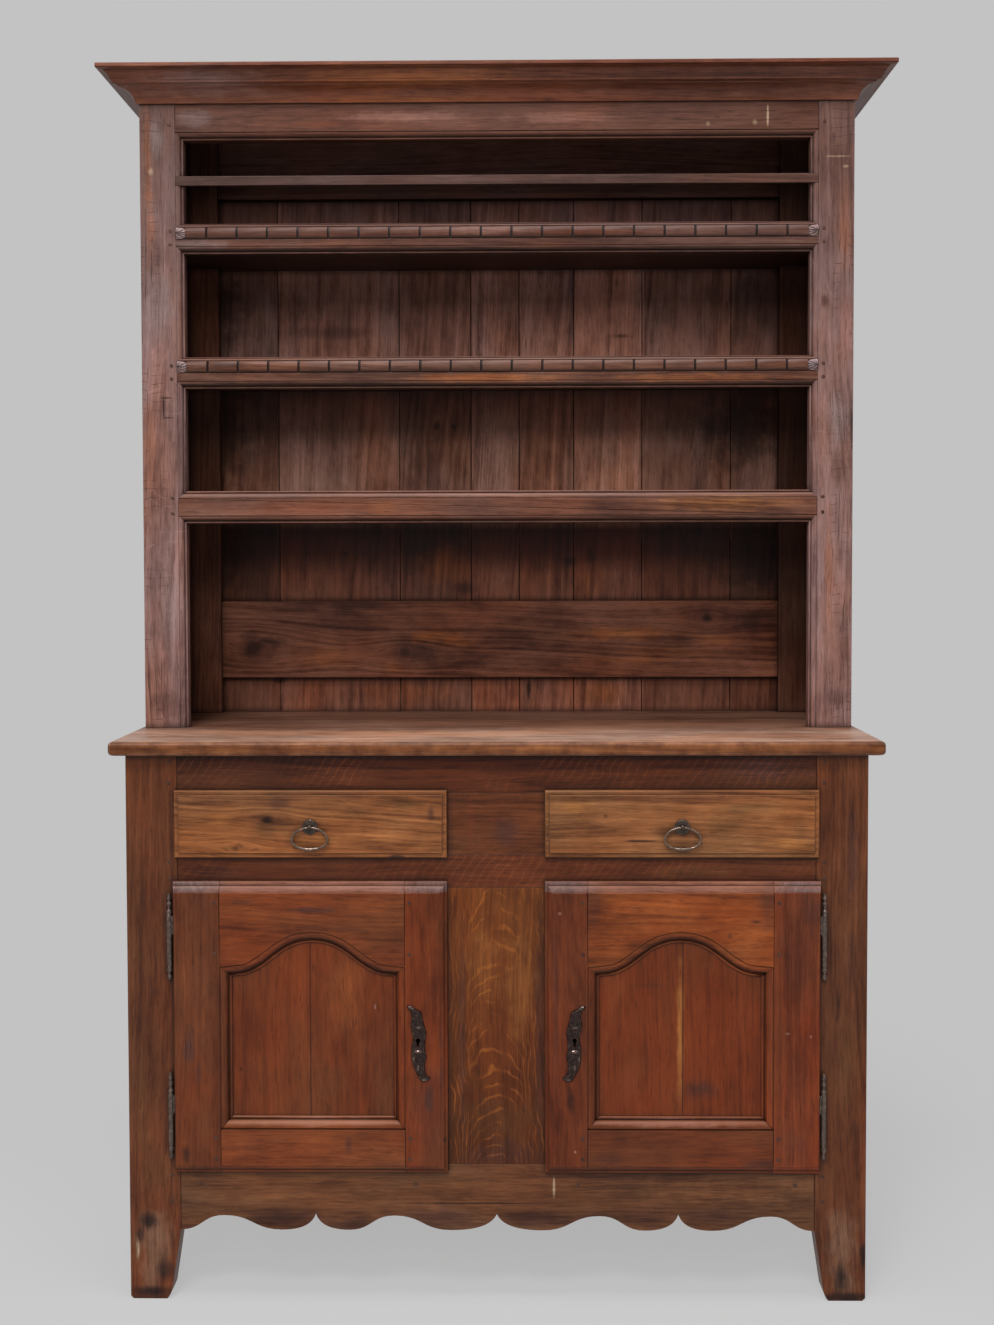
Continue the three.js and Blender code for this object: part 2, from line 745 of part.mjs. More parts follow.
// An anticlockwise outline moved outwards by one distance, with mitred corners
function offsetOutline(points, distance) {
  return points.map((point, index) => {
    const before = points[(index + points.length - 1) % points.length];
    const after = points[(index + 1) % points.length];
    const normal = (a, b) => new THREE.Vector2(b.y - a.y, a.x - b.x).normalize();
    const [first, second] = [normal(before, point), normal(point, after)];
    const middle = first.clone().add(second).normalize();
    return point.clone().addScaledVector(middle, distance / middle.dot(first));
  });
}

function doorPanelOpening() {
  const face = -doorProud;
  const ring = (out, y) => sightLine(out).map((point) => [point.x, y, point.y]);
  const rings = [ring(doorMoulding, face - overrun)];
  for (const [out, down] of mouldingShares()) {
    rings.push(ring(out * doorMoulding, face + down * doorMouldingDepth));
  }
  rings.push(ring(0, doorPlugDepth + overrun));
  return skinned(rings, [0, 2]);
}

// The panel with its edge in the groove, or the groove itself with its clearance
function panelBody(gap) {
  const face = -doorProud + doorMouldingDepth;
  const outline = new THREE.Shape(sightLine(housing + gap));
  return slab(outline, face - gap, face + doorPanelThickness + gap);
}

function doorBody() {
  const insets = { left: doorFreeEdgeMoulding, right: doorHingeEdgeMoulding, low: doorBottomEdgeMoulding,
    high: doorTopEdgeMoulding };
  const [across, upright] = [[doorInner, doorOuter], [doorBottom, doorTop]];
  const ring = (share, y) => framedCorners(across, upright, insets, share).map(([x, z]) => [x, y, z]);
  const rings = [ring(0, -seatGap)];
  for (const [inward, down] of lipShares) {
    rings.push(ring(inward, -doorProud + down * doorEdgeMouldingDepth));
  }
  const plug = block([[centreStileHalf + doorGap, openingHalf - doorGap],
    [-seatGap - overrun, doorPlugDepth],
    [apronTop + doorGap, midRailBottom - doorGap]]);
  return cut(join([skinned(rings, [0, 2]), plug]), [doorPanelOpening(), panelBody(jointGap)]);
}

// Tenons of the door rails at both stiles
function doorTenons() {
  const through = [-doorProud + doorTenonSetBack, -doorProud + doorTenonSetBack + tenonThickness];
  const bottom = [apronTop + doorGap + tenonShoulder, doorSightLow - doorMoulding - 2 * tenonShoulder];
  const top = [doorSightShoulder + archRise + doorMoulding, midRailBottom - doorGap - tenonShoulder];
  const hingeSide = [doorFlatOuter, doorFlatOuter + doorTenonLength];
  const lockSide = [doorFlatInner - doorTenonLength, doorFlatInner];
  return { bottom: [[hingeSide, through, bottom], [lockSide, through, bottom]],
    top: [[hingeSide, through, top], [lockSide, through, top]] };
}

// The region of a door's front that one member covers, as a tall prism
const region = (points) => slab(shapeOf(points), -doorProud - overrun, doorPlugDepth + overrun);

function doorStile(body, flat, sight, outside, sockets) {
  const flatLow = doorSightLow - doorMoulding;
  const flatHigh = doorSightShoulder + doorMoulding;
  const points = [[outside, doorBottom - overrun], [flat, doorBottom - overrun], [flat, flatLow],
    [sight, doorSightLow], [sight, doorSightShoulder], [flat, flatHigh], [flat, doorTop + overrun],
    [outside, doorTop + overrun]];
  return cutRanges(body.intersect(region(points)), sockets);
}

function doorBottomRail(body) {
  const flat = doorSightLow - doorMoulding;
  const points = [[doorFlatInner, doorBottom - overrun], [doorFlatOuter, doorBottom - overrun],
    [doorFlatOuter, flat - mitreGap], [doorSightOuter - mitreGap, doorSightLow],
    [doorSightInner + mitreGap, doorSightLow], [doorFlatInner, flat - mitreGap]];
  return join([body.intersect(region(points)), ...doorTenons().bottom.map(block)]);
}

function doorTopRail(body) {
  const flat = doorSightShoulder + doorMoulding;
  const points = [[doorFlatInner, doorTop + overrun], [doorFlatInner, flat + mitreGap],
    [doorSightInner + mitreGap, doorSightShoulder], [doorSightOuter - mitreGap, doorSightShoulder],
    [doorFlatOuter, flat + mitreGap], [doorFlatOuter, doorTop + overrun]];
  return join([body.intersect(region(points)), ...doorTenons().top.map(block)]);
}

// A long-barrelled hinge: the door half turns on the pin of the frame half
const topHinge = { low: doorTop - hingeEndInset - hingeLength };
const bottomHinge = { low: doorBottom + hingeEndInset + overrun };
const hingeMiddle = (hinge) => hinge.low + hingeLength / 2;

// Where the frame half's tang enters the post
function hingeTangRange(hinge) {
  const top = hingeMiddle(hinge) - hingeLength * hingeShares.tangInset;
  return [[hingeX - tangThickness / 2, hingeX + tangThickness / 2], [hingeY, hingeY + tangPostReach],
    [top - hingeLength * hingeShares.tang, top]];
}

// Where the door half's tang enters the stile
function doorTangRange(hinge) {
  const bottom = hingeMiddle(hinge) + hingeLength * hingeShares.tangInset;
  const wall = (barrelRadius + boreRadius) / 2;
  return [[hingeX - tangDoorReach, hingeX - wall], [hingeY - tangThickness / 2, hingeY + tangThickness / 2],
    [bottom, bottom + hingeLength * hingeShares.tang]];
}

// A turned finial, as shares of the barrel's radius and of the finial's height
const topFinialShares = [[0.92, 0], [0.72, 0.05], [1.05, 0.11], [1.05, 0.17], [0.62, 0.23], [0.5, 0.32],
  [0.66, 0.42], [0.94, 0.47], [0.94, 0.54], [0.52, 0.61], [0.52, 0.67], [0.86, 0.73], [0.86, 0.79],
  [0.42, 0.85], [0.64, 0.9], [0.64, 0.95], [0, 1]];
const bottomFinialShares = [[0.92, 0], [0.66, 0.09], [1.04, 0.21], [1.04, 0.33], [0.52, 0.44], [0.52, 0.55],
  [0.86, 0.65], [0.86, 0.76], [0.46, 0.87], [0, 1]];

function turned(points) {
  const geometry = new THREE.LatheGeometry(points.map(([r, z]) => new THREE.Vector2(r, z)), turnedSides);
  geometry.rotateX(Math.PI / 2);
  geometry.translate(hingeX, hingeY, 0);
  return solidFrom(geometry);
}

function doorHingeHalf(hinge) {
  const low = hingeMiddle(hinge) + jointGap / 2;
  const finialHeight = hingeLength * hingeShares.topFinial;
  const shaftTop = hinge.low + hingeLength - finialHeight;
  const boreTop = low + hingeLength * hingeShares.pin + jointGap;
  const finial = topFinialShares.map(([r, z]) => [r * barrelRadius, shaftTop + z * finialHeight]);
  const points = [[0, boreTop], [boreRadius, boreTop], [boreRadius, low], [barrelRadius, low],
    [barrelRadius, shaftTop], ...finial];
  return join([turned(points), block(doorTangRange(hinge))]);
}

function frameHingeHalf(hinge) {
  const high = hingeMiddle(hinge) - jointGap / 2;
  const finialHeight = hingeLength * hingeShares.bottomFinial;
  const shaftLow = hinge.low + finialHeight;
  const pinTop = high + hingeLength * hingeShares.pin;
  const finial = bottomFinialShares.map(([r, z]) => [r * barrelRadius, shaftLow - z * finialHeight]);
  const points = [...finial.reverse(), [barrelRadius, shaftLow], [barrelRadius, high], [pinRadius, high],
    [pinRadius, pinTop], [0, pinTop]];
  return join([turned(points), block(hingeTangRange(hinge))]);
}

// Keyhole plates: the scrolled outline, as shares of half the width and of the height
const plateShares = [[0.9, 1], [1.3, 0.98], [0.9, 0.93], [0.72, 0.85], [0.86, 0.75], [0.74, 0.66],
  [0.56, 0.56], [0.72, 0.47], [0.76, 0.36], [0.72, 0.27], [0.46, 0.17], [0.05, 0.08], [-0.4, 0],
  [-1.1, 0.01], [-1.45, 0.045], [-1, 0.07], [-0.78, 0.17], [-0.8, 0.25], [-0.96, 0.32], [-0.82, 0.4],
  [-0.84, 0.53], [-0.96, 0.64], [-0.76, 0.73], [-0.52, 0.83], [-0.4, 0.91], [0.25, 0.95]];

const escutcheonCentre = () => doorBottom + (doorTop - doorBottom) * escutcheonHeightShare;
const escutcheonLow = () => escutcheonCentre() - escutcheonHeight / 2;
const keyholeX = () => doorInner + escutcheonInset;
const keyholeZ = () => escutcheonLow() + escutcheonHeight * keyholeHeightShare;

function keyhole(fromY, toY, gap) {
  const hole = new THREE.Shape();
  hole.absarc(keyholeX(), keyholeZ(), keyholeRadius + gap, 0, 2 * Math.PI, false);
  const slot = [[keyholeX() - keySlotWidth / 2 - gap, keyholeX() + keySlotWidth / 2 + gap], [fromY, toY],
    [keyholeZ() - keySlotLength - gap, keyholeZ()]];
  return join([slab(hole, fromY, toY), block(slot)]);
}

function escutcheon() {
  const corners = plateShares.map(([x, z]) => new THREE.Vector3(
    keyholeX() + (x * escutcheonWidth) / 2, escutcheonLow() + z * escutcheonHeight, 0,
  ));
  const outline = new THREE.CatmullRomCurve3(corners, true, 'centripetal').getPoints(plateFacets);
  const front = -doorProud - escutcheonThickness;
  const blank = slab(shapeOf(outline.slice(1).map((point) => [point.x, point.y])), front, -doorProud);
  return cut(blank, [keyhole(front - overrun, -doorProud + overrun, 0)]);
}

// Ring pulls: a post with an eye on the drawer front, and the ring that hangs in it
function pullPost() {
  const profile = [[0, 0], [rosetteRadius, 0], [rosetteRadius, rosetteThickness * rosetteRimShare],
    [rosetteRadius * rosetteFlatShare, rosetteThickness], [stemRadius, rosetteThickness],
    [stemRadius, ringStandOff], [0, ringStandOff]];
  const stem = new THREE.LatheGeometry(profile.map(([r, y]) => new THREE.Vector2(r, y)), turnedSides);
  stem.rotateX(Math.PI);
  stem.translate(pullX, -drawerProud, ringTopZ);
  const knob = new THREE.SphereGeometry(eyeRadius, turnedSides, turnedSides / 2);
  knob.rotateZ(Math.PI / 2);
  knob.translate(pullX, ringY, ringTopZ);
  const hole = new THREE.CylinderGeometry(eyeHoleRadius, eyeHoleRadius, 2 * rosetteRadius, turnedSides);
  hole.rotateZ(Math.PI / 2);
  hole.translate(pullX, ringY, ringTopZ);
  const cheeks = block([[pullX - eyeWidth / 2, pullX + eyeWidth / 2], [ringY - eyeRadius, -drawerProud],
    [ringTopZ - rosetteRadius, ringTopZ + rosetteRadius]]);
  const eye = solidFrom(knob).intersect(cheeks);
  return join([solidFrom(stem), eye]).subtract(solidFrom(hole));
}

function pullRing() {
  const places = [];
  const index = [];
  const halfWidth = ringWidth / 2 - ringWireRadius;
  const height = ringHeight - ringWireRadius - ringSwellRadius;
  for (let step = 0; step < ringSteps; step += 1) {
    const turn = (step / ringSteps) * 2 * Math.PI;
    const halfHeight = height * (Math.cos(turn) > 0 ? ringUpperShare : 1 - ringUpperShare);
    const centre = [halfWidth * Math.sin(turn), halfHeight * Math.cos(turn) - height * ringUpperShare];
    const outward = new THREE.Vector2(halfHeight * Math.sin(turn), halfWidth * Math.cos(turn)).normalize();
    const middle = Math.cos(turn) < 0 ? Math.max(0, 1 - Math.abs(Math.sin(turn)) / ringSwellShare) : 0;
    const wire = ringWireRadius + (ringSwellRadius - ringWireRadius) * Math.sqrt(middle);
    for (let side = 0; side < wireSides; side += 1) {
      const around = (side / wireSides) * 2 * Math.PI;
      const out = wire * Math.cos(around);
      places.push(pullX + centre[0] + outward.x * out, ringY + wire * Math.sin(around),
        ringTopZ + centre[1] + outward.y * out);
      const next = (step + 1) % ringSteps;
      const beside = (side + 1) % wireSides;
      const [a, b] = [step * wireSides + side, step * wireSides + beside];
      const [c, d] = [next * wireSides + side, next * wireSides + beside];
      index.push(a, b, d, a, d, c);
    }
  }
  return facetedSolid(places, index);
}

// Rack bays from the top: sight lines and the widths of the mouldings below and above
const bays = () => {
  const mould = rackMoulding;
  return [
    { low: upperRailTop, high: rackTopSight, under: shelfEdgeMoulding, over: mould },
    { low: middleRailTop, high: upperRailTop - upperRailHeight, under: shelfEdgeMoulding, over: mould },
    { low: lowerRailTop, high: middleRailTop - middleRailHeight, under: mould, over: mould },
    { low: worktopHeight, high: lowerRailTop - lowerRailHeight, under: 0, over: mould },
  ];
};

function bayOpenings() {
  return bays().map((bay) => {
    const low = bay.under === 0 ? bay.low - rackStileWidth : bay.low;
    const widths = { left: rackMoulding, right: rackMoulding, low: bay.under, high: bay.over };
    return mouldedOpening([-rackSightHalf, rackSightHalf], [low, bay.high], widths, rackFrontY,
      rackMouldingDepth, rackRearY);
  });
}

// Stub tenons of the rack's front rails, on the right-hand side
function rackTenons() {
  const across = [rackFlatHalf, rackFlatHalf + rackTenonLength];
  const through = [rackFrontY + tenonSetBack, rackFrontY + tenonSetBack + tenonThickness];
  const tenon = (low, high) => [across, through, [low + tenonShoulder, high - tenonShoulder]];
  return {
    top: tenon(rackTopSight + rackMoulding, rackTop),
    upper: tenon(upperRailTop - upperRailHeight + rackMoulding, upperRailTop - shelfEdgeMoulding),
    middle: tenon(middleRailTop - middleRailHeight + rackMoulding, middleRailTop - shelfEdgeMoulding),
    lower: tenon(lowerRailTop - lowerRailHeight + rackMoulding, lowerRailTop - rackMoulding),
    bar: [[rackFlatHalf, rackFlatHalf + barStub], [rackFrontY + barStubInset, rackFrontY + barThickness],
      [barTop - barHeight + barStubInset, barTop - barStubInset]],
  };
}

const barRange = () => [[-rackFlatHalf, rackFlatHalf], [rackFrontY, rackFrontY + barThickness],
  [barTop - barHeight, barTop]];

function rackStile() {
  const outline = [[rackHalf, worktopHeight], [rackHalf, rackTop], [rackFlatHalf, rackTop]];
  for (const bay of bays()) {
    outline.push([rackFlatHalf, bay.high + bay.over], [rackSightHalf, bay.high], [rackSightHalf, bay.low]);
    if (bay.under > 0) outline.push([rackFlatHalf, bay.low - bay.under]);
  }
  const board = slab(shapeOf(outline), rackFrontY, rackRearY);
  const barSeat = block([[rackSightHalf - overrun, rackFlatHalf],
    [rackFrontY - overrun, rackFrontY + barThickness + jointGap],
    [barTop - barHeight - jointGap, barTop + jointGap]]);
  const sockets = Object.values(rackTenons());
  return cutRanges(cut(board, [...bayOpenings(), barSeat]), sockets);
}

// A front rail of the rack with mitred ends where its mouldings meet the stiles'
function rackRail(low, high, under, over, tenon) {
  const outline = [];
  const corner = (x, z) => outline.push([x, z]);
  const [flat, sight] = [rackFlatHalf, rackSightHalf - mitreGap];
  corner(-(under > 0 ? sight : flat), low);
  corner(under > 0 ? sight : flat, low);
  if (under > 0) corner(flat, low + under + mitreGap);
  if (over > 0) corner(flat, high - over - mitreGap);
  corner(over > 0 ? sight : flat, high);
  corner(-(over > 0 ? sight : flat), high);
  if (over > 0) corner(-flat, high - over - mitreGap);
  if (under > 0) corner(-flat, low + under + mitreGap);
  const board = slab(shapeOf(outline), rackFrontY, rackRearY);
  return withEndTenons(cut(board, bayOpenings()), tenon);
}

// A shelf rail with a half-round bead cut into short lengths by square notches
function beadedRail(top, height, tenon) {
  const plain = rackRail(top - height, top, rackMoulding, shelfEdgeMoulding, tenon);
  const centre = top - shelfEdgeMoulding - beadHeight / 2;
  const end = rackSightHalf - beadEndInset;
  const pitch = (2 * end) / (beadNotchCount - 1 + 2 * beadEndShare);
  const upright = [centre - beadHeight / 2, centre + beadHeight / 2];
  const bedY = rackFrontY + beadSunk;
  const section = new THREE.Shape();
  section.moveTo(bedY, upright[0]);
  section.lineTo(bedY + overrun, upright[0]);
  section.lineTo(bedY + overrun, upright[1]);
  section.lineTo(bedY, upright[1]);
  section.absellipse(bedY, centre, beadProud + beadSunk, beadHeight / 2, Math.PI / 2, 1.5 * Math.PI);
  const bed = block([[-end, end], [rackFrontY - overrun, bedY], upright]);
  const whole = join([plain.subtract(bed), bar(section, -end, end)]);
  const notches = [];
  for (let notch = 0; notch < beadNotchCount; notch += 1) {
    const x = (notch - (beadNotchCount - 1) / 2) * pitch;
    notches.push(block([[x - beadNotchWidth / 2, x + beadNotchWidth / 2],
      [rackFrontY - beadProud - overrun, bedY], upright]));
  }
  return cut(whole, notches);
}

function plateBar() {
  return withEndTenons(block(barRange()), rackTenons().bar);
}

// Boards of the rack that are let into its two sides
const betweenSides = () => [-rackSideInner - housing, rackSideInner + housing];
const shelfRange = (railTop) => [betweenSides(), [rackRearY, rackBackFront],
  [railTop - shelfDrop - shelfThickness, railTop - shelfDrop]];

function shelf(railTop) {
  const range = shelfRange(railTop);
  const notch = [[rackPostInner, rackSideInner + housing + overrun], [rackPostFront, backY],
    [range[2][0] - overrun, range[2][1] + overrun]];
  return cutRanges(block(range), [notch, mirroredRange(notch)]);
}

const roofRange = () => [betweenSides(), [rackRearY, rackBackFront], [roofBottom, roofTop]];
const rackBackRange = () => [betweenSides(), [rackBackFront, rackBackRear], [worktopHeight, roofTop]];

// Rack: one side board with its rear post
function rackSide() {
  const board = block([[rackSideInner, rackHalf], [rackRearY, backY], [worktopHeight, rackTop]]);
  const post = block([[rackPostInner, rackSideInner + overrun], [rackPostFront, rackBackFront],
    [worktopHeight, roofBottom]]);
  const housings = [upperRailTop, middleRailTop, lowerRailTop].map(shelfRange);
  const boardCut = cutRanges(board, [...housings, roofRange(), rackBackRange()]);
  const sockets = cutRanges(post, [backRailTenon(crossRailRange()), backRailTenon(backTopRailRange())]);
  const seat = block(widened(rackBackRange()));
  return join([boardCut, sockets.subtract(seat)]);
}

const crossRailRange = () => [[-rackPostInner, rackPostInner], [backRailFront, rackBackFront],
  [crossRailBottom, crossRailBottom + crossRailHeight]];
const backTopRailRange = () => [[-rackPostInner, rackPostInner], [backRailFront, rackBackFront],
  [roofBottom - backTopRailHeight, roofBottom]];

function backRailTenon([across, through, upright]) {
  const front = through[0] + tenonShoulder;
  return [[across[1], across[1] + stubTenonLength], [front, front + tenonThickness],
    [upright[0] + tenonShoulder, upright[1] - tenonShoulder]];
}

const backRail = (range) => withEndTenons(block(range), backRailTenon(range));

function rackBack() {
  const half = rackSideInner + housing;
  const grooves = backJointShares.map((share) => share * half);
  return grooved(block(rackBackRange()), grooves, rackBackFront, [worktopHeight, roofTop]);
}

// Cornice section: shares of the projection out from the carcass, and of the height up
const corniceShares = [[0, 0], [0.08, 0], [0.09, 0.08], [0.13, 0.2], [0.2, 0.31], [0.3, 0.39], [0.42, 0.43],
  [0.5, 0.44], [0.5, 0.47], [0.63, 0.5], [0.63, 0.56], [0.66, 0.58], [0.7, 0.68], [0.76, 0.78], [0.8, 0.8],
  [0.8, 0.84], [0.95, 0.86], [1, 0.88], [1, 1], [0, 1]];

const cornicePoints = () => corniceShares.map(([out, up]) => (
  [out * corniceProjection, totalHeight - corniceHeight * (1 - up)]
));

function corniceFront() {
  const ring = (side) => cornicePoints().map(([out, z]) => (
    [side * (rackHalf + out - mitreGap), rackFrontY - out, z]
  ));
  return skinned([ring(-1), ring(1)], [1, 2]);
}

function corniceSide() {
  const front = cornicePoints().map(([out, z]) => [rackHalf + out, rackFrontY - out, z]);
  const rear = cornicePoints().map(([out, z]) => [rackHalf + out, backY, z]);
  return skinned([front, rear], [0, 2]);
}

// Assembly of the base
addPair('front_post', frontPost(), baseWood);
addPair('base_side', baseSide(), baseWood);
addPiece('frieze_rail', friezeRail(), baseWood);
addPiece('mid_rail', midRail(), baseWood);
addPiece('drawer_divider', drawerDivider(), stileOak);
addPiece('centre_stile', centreStile(), stileOak);
addPiece('apron', apron(), baseWood);
addPiece('base_back', baseBack(), pineWood);
addPiece('base_floor', baseFloor(), pineWood);
addPiece('centre_runner', centreRunner(), pineWood);
addPiece('worktop', worktop(), topWood);

// Assembly of the drawers
addPair('drawer_front', drawerFront(), drawerWood);
addPair('drawer_box', drawerBox(), pineWood);
addPair('pull_post', pullPost(), darkIron);
addPair('pull_ring', pullRing(), darkIron);

// Assembly of the doors
const leaf = doorBody();
const hingeSockets = [topHinge, bottomHinge].map(doorTangRange);
const hingeSideSockets = [doorTenons().bottom[0], doorTenons().top[0], ...hingeSockets];
const lockSideSockets = [doorTenons().bottom[1], doorTenons().top[1]];
const hingeStile = doorStile(leaf, doorFlatOuter, doorSightOuter, doorOuter + overrun, hingeSideSockets);
const lockStile = doorStile(leaf, doorFlatInner, doorSightInner, doorInner - overrun, lockSideSockets);
const keyPassage = keyhole(-doorProud - overrun, doorPlugDepth + overrun, jointGap);
addPair('door_hinge_stile', hingeStile, doorWood);
addPair('door_lock_stile', cut(lockStile, [keyPassage]), doorWood);
addPair('door_top_rail', doorTopRail(leaf), doorWood);
addPair('door_bottom_rail', doorBottomRail(leaf), doorWood);
addPair('door_panel', panelBody(0), doorWood);
addPair('escutcheon', escutcheon(), darkIron);
addPair('hinge_top_door_half', doorHingeHalf(topHinge), darkIron);
addPair('hinge_top_frame_half', frameHingeHalf(topHinge), darkIron);
addPair('hinge_bottom_door_half', doorHingeHalf(bottomHinge), darkIron);
addPair('hinge_bottom_frame_half', frameHingeHalf(bottomHinge), darkIron);

// Assembly of the rack
addPair('rack_stile', rackStile(), rackWood);
addPair('rack_side', rackSide(), rackWood);
addPiece('rack_top_rail', rackRail(rackTopSight, rackTop, rackMoulding, 0, rackTenons().top), rackWood);
addPiece('shelf_rail_upper', beadedRail(upperRailTop, upperRailHeight, rackTenons().upper), rackWood);
addPiece('shelf_rail_middle', beadedRail(middleRailTop, middleRailHeight, rackTenons().middle), rackWood);
const lowerSpan = [lowerRailTop - lowerRailHeight, lowerRailTop];
const lowerRail = rackRail(...lowerSpan, rackMoulding, rackMoulding, rackTenons().lower);
addPiece('shelf_rail_lower', lowerRail, rackWood);
addPiece('shelf_upper', shelf(upperRailTop), shadeWood);
addPiece('shelf_middle', shelf(middleRailTop), shadeWood);
addPiece('shelf_lower', shelf(lowerRailTop), shadeWood);
addPiece('plate_bar', plateBar(), rackWood);
addPiece('rack_back', rackBack(), shadeWood);
addPiece('back_cross_rail', backRail(crossRailRange()), shadeWood);
addPiece('back_top_rail', backRail(backTopRailRange()), shadeWood);
addPiece('rack_roof', block(roofRange()), shadeWood);
addPiece('cornice_front', corniceFront(), rackWood);
addPair('cornice_side', corniceSide(), rackWood);

export default dresser;
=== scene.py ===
"""Looks of the welsh dresser: worn copies of its solids, carved and cast details, materials and studio."""
import json
import math
from types import SimpleNamespace

import bmesh
import bpy
import numpy as np
from mathutils import Matrix, Vector
from mathutils.geometry import delaunay_2d_cdt

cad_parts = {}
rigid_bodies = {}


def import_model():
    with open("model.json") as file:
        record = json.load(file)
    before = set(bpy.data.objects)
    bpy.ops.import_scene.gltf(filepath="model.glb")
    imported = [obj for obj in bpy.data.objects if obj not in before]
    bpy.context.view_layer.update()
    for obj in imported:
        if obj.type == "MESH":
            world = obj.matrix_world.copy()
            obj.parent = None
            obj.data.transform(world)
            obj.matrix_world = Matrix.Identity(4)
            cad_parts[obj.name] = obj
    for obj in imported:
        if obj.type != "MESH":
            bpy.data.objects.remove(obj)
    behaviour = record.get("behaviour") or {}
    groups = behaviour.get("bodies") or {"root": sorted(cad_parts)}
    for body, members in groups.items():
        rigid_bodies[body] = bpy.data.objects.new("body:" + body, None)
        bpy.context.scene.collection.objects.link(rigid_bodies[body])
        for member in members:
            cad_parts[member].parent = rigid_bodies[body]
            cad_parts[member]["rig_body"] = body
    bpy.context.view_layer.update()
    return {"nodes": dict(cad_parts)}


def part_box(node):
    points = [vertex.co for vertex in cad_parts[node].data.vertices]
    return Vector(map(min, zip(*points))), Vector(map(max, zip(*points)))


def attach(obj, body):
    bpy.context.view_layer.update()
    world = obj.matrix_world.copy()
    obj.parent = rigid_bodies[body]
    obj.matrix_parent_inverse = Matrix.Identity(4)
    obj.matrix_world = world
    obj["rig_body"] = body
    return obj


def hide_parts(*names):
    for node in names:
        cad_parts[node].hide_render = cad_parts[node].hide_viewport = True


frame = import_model()
nodes = frame["nodes"]
SIDES = {"right": 1, "left": -1}

# Camera, from the photograph's vanishing lines: its size in pixels, place, turns, focal length and centre
IMAGE = (994, 1325)
CAMERA_AT = (0.04077, -3.10201, 1.27329)
CAMERA_TURN = (0.0388, -0.0135, 0.0023)
FOCAL = 1672.29
PRINCIPAL = (497.0, 623.38)
FILM_WIDTH = 36.0

# Studio: the grey backdrop, how much of it lights the object, and the lamps' place, size and power
GREY = 0.545
AMBIENT = 0.10
LAMP_AIM = (0.0, 0.0, 1.1)
LAMPS = {
    "key": ((-1.3, -4.9, 6.4), (2.4, 1.8), 300.0),
    "front": ((-0.2, -5.6, 3.4), (3.0, 2.0), 150.0),
    "top": ((0.0, -1.0, 5.6), (2.4, 1.6), 150.0),
}
UNMIRRORED_LAMPS = ("front",)
FLOOR_RADIUS = 40.0

# Planes that details start from: the base's front and the rosettes' fronts in Y, how far the rack's front
# lies behind the base's, and how far the doors stand out from it
BASE_FRONT = -0.27525
ROSETTE_FRONT = -0.28925
RACK_BEHIND = 0.215
DOOR_PROUD = 0.015

# Where tones change: at the worktop's front edge in Y, its ends in X, the doors' upper edges in Z and, along
# those, with the distance in X from the door's middle
WORKTOP_EDGE = (-0.2960, -0.2925)
WORKTOP_END = (0.6505, 0.6535)
DOOR_TOP_EDGE = (0.7085, 0.7110)
DOOR_MIDDLE = 0.317

# Where pieces meet, as X on both sides of the centre: their joints show as thin dark lines
POST_SEAM = (0.5430,)
DOOR_RAIL_SEAMS = (0.4705, 0.1555)
PANEL_SEAM = (0.3175,)
DIVIDER_SEAM = (0.0865,)
CENTRE_SEAM = (0.0895,)
RACK_SEAM = (0.5797,)

# Wood tones, as linear colours
RACK = (0.165, 0.082, 0.066)
RACK_SIDE = (0.090, 0.033, 0.019)
RAIL = (0.100, 0.038, 0.022)
TOP_RAIL = (0.097, 0.033, 0.0185)
CORNICE = (0.124, 0.037, 0.0185)
BAR = (0.064, 0.027, 0.019)
PINE = (0.250, 0.105, 0.068)
CROSS = (0.148, 0.048, 0.025)
SHADE = (0.055, 0.020, 0.012)
TOP = (0.340, 0.175, 0.112)
BASE = (0.095, 0.026, 0.0087)
# The frieze's tone is partly its own and partly painted shade from the worktop's overhang
FRIEZE = (0.069, 0.017, 0.0056)
MID_RAIL = (0.077, 0.0185, 0.0060)
DIVIDER = (0.091, 0.026, 0.0086)
DRAWER = (0.176, 0.060, 0.019)
DOOR = (0.118, 0.026, 0.0075)
PANEL = (0.116, 0.0255, 0.0064)
DOOR_RAIL = (0.150, 0.035, 0.0085)
DOOR_FOOT = (0.114, 0.028, 0.0088)
OAK = (0.108, 0.0255, 0.0043)
APRON = (0.107, 0.038, 0.0145)
INSIDE = (0.270, 0.100, 0.048)
FAN = (0.19, 0.115, 0.10)
PEG = (0.055, 0.022, 0.012)
# Dark of dirt and of painted shade, for hollows and between beads
DIRT_AND_SHADE = (0.010, 0.004, 0.003)
JOINT_SHADE = (0.012, 0.005, 0.004)

# How much lighter or redder single parts are than others of their kind
PART_TINTS = {
    "shelf_rail_upper": (0.85, 0.86, 0.93),
    "shelf_rail_lower": (1.19, 1.18, 1.22),
    "rack_side_right": (0.85, 0.85, 0.85),
    "rack_side_left": (1.30, 1.30, 1.30),
    "door_top_rail_right": (1.10, 1.04, 0.86),
    "door_top_rail_left": (0.85, 0.83, 0.88),
    "door_hinge_stile_right": (1.13, 1.02, 0.91),
    "door_hinge_stile_left": (0.84, 0.92, 0.95),
    "door_lock_stile_right": (0.90, 0.83, 0.74),
    "door_lock_stile_left": (0.96, 0.89, 0.68),
    "door_bottom_rail_left": (1.15, 1.20, 1.12),
    "door_bottom_rail_right": (0.97, 0.88, 0.76),
    "door_panel_left": (1.01, 1.06, 1.08),
    "door_panel_right": (1.00, 0.94, 0.82),
    "back_top_rail": (2.4, 2.7, 3.2),
}

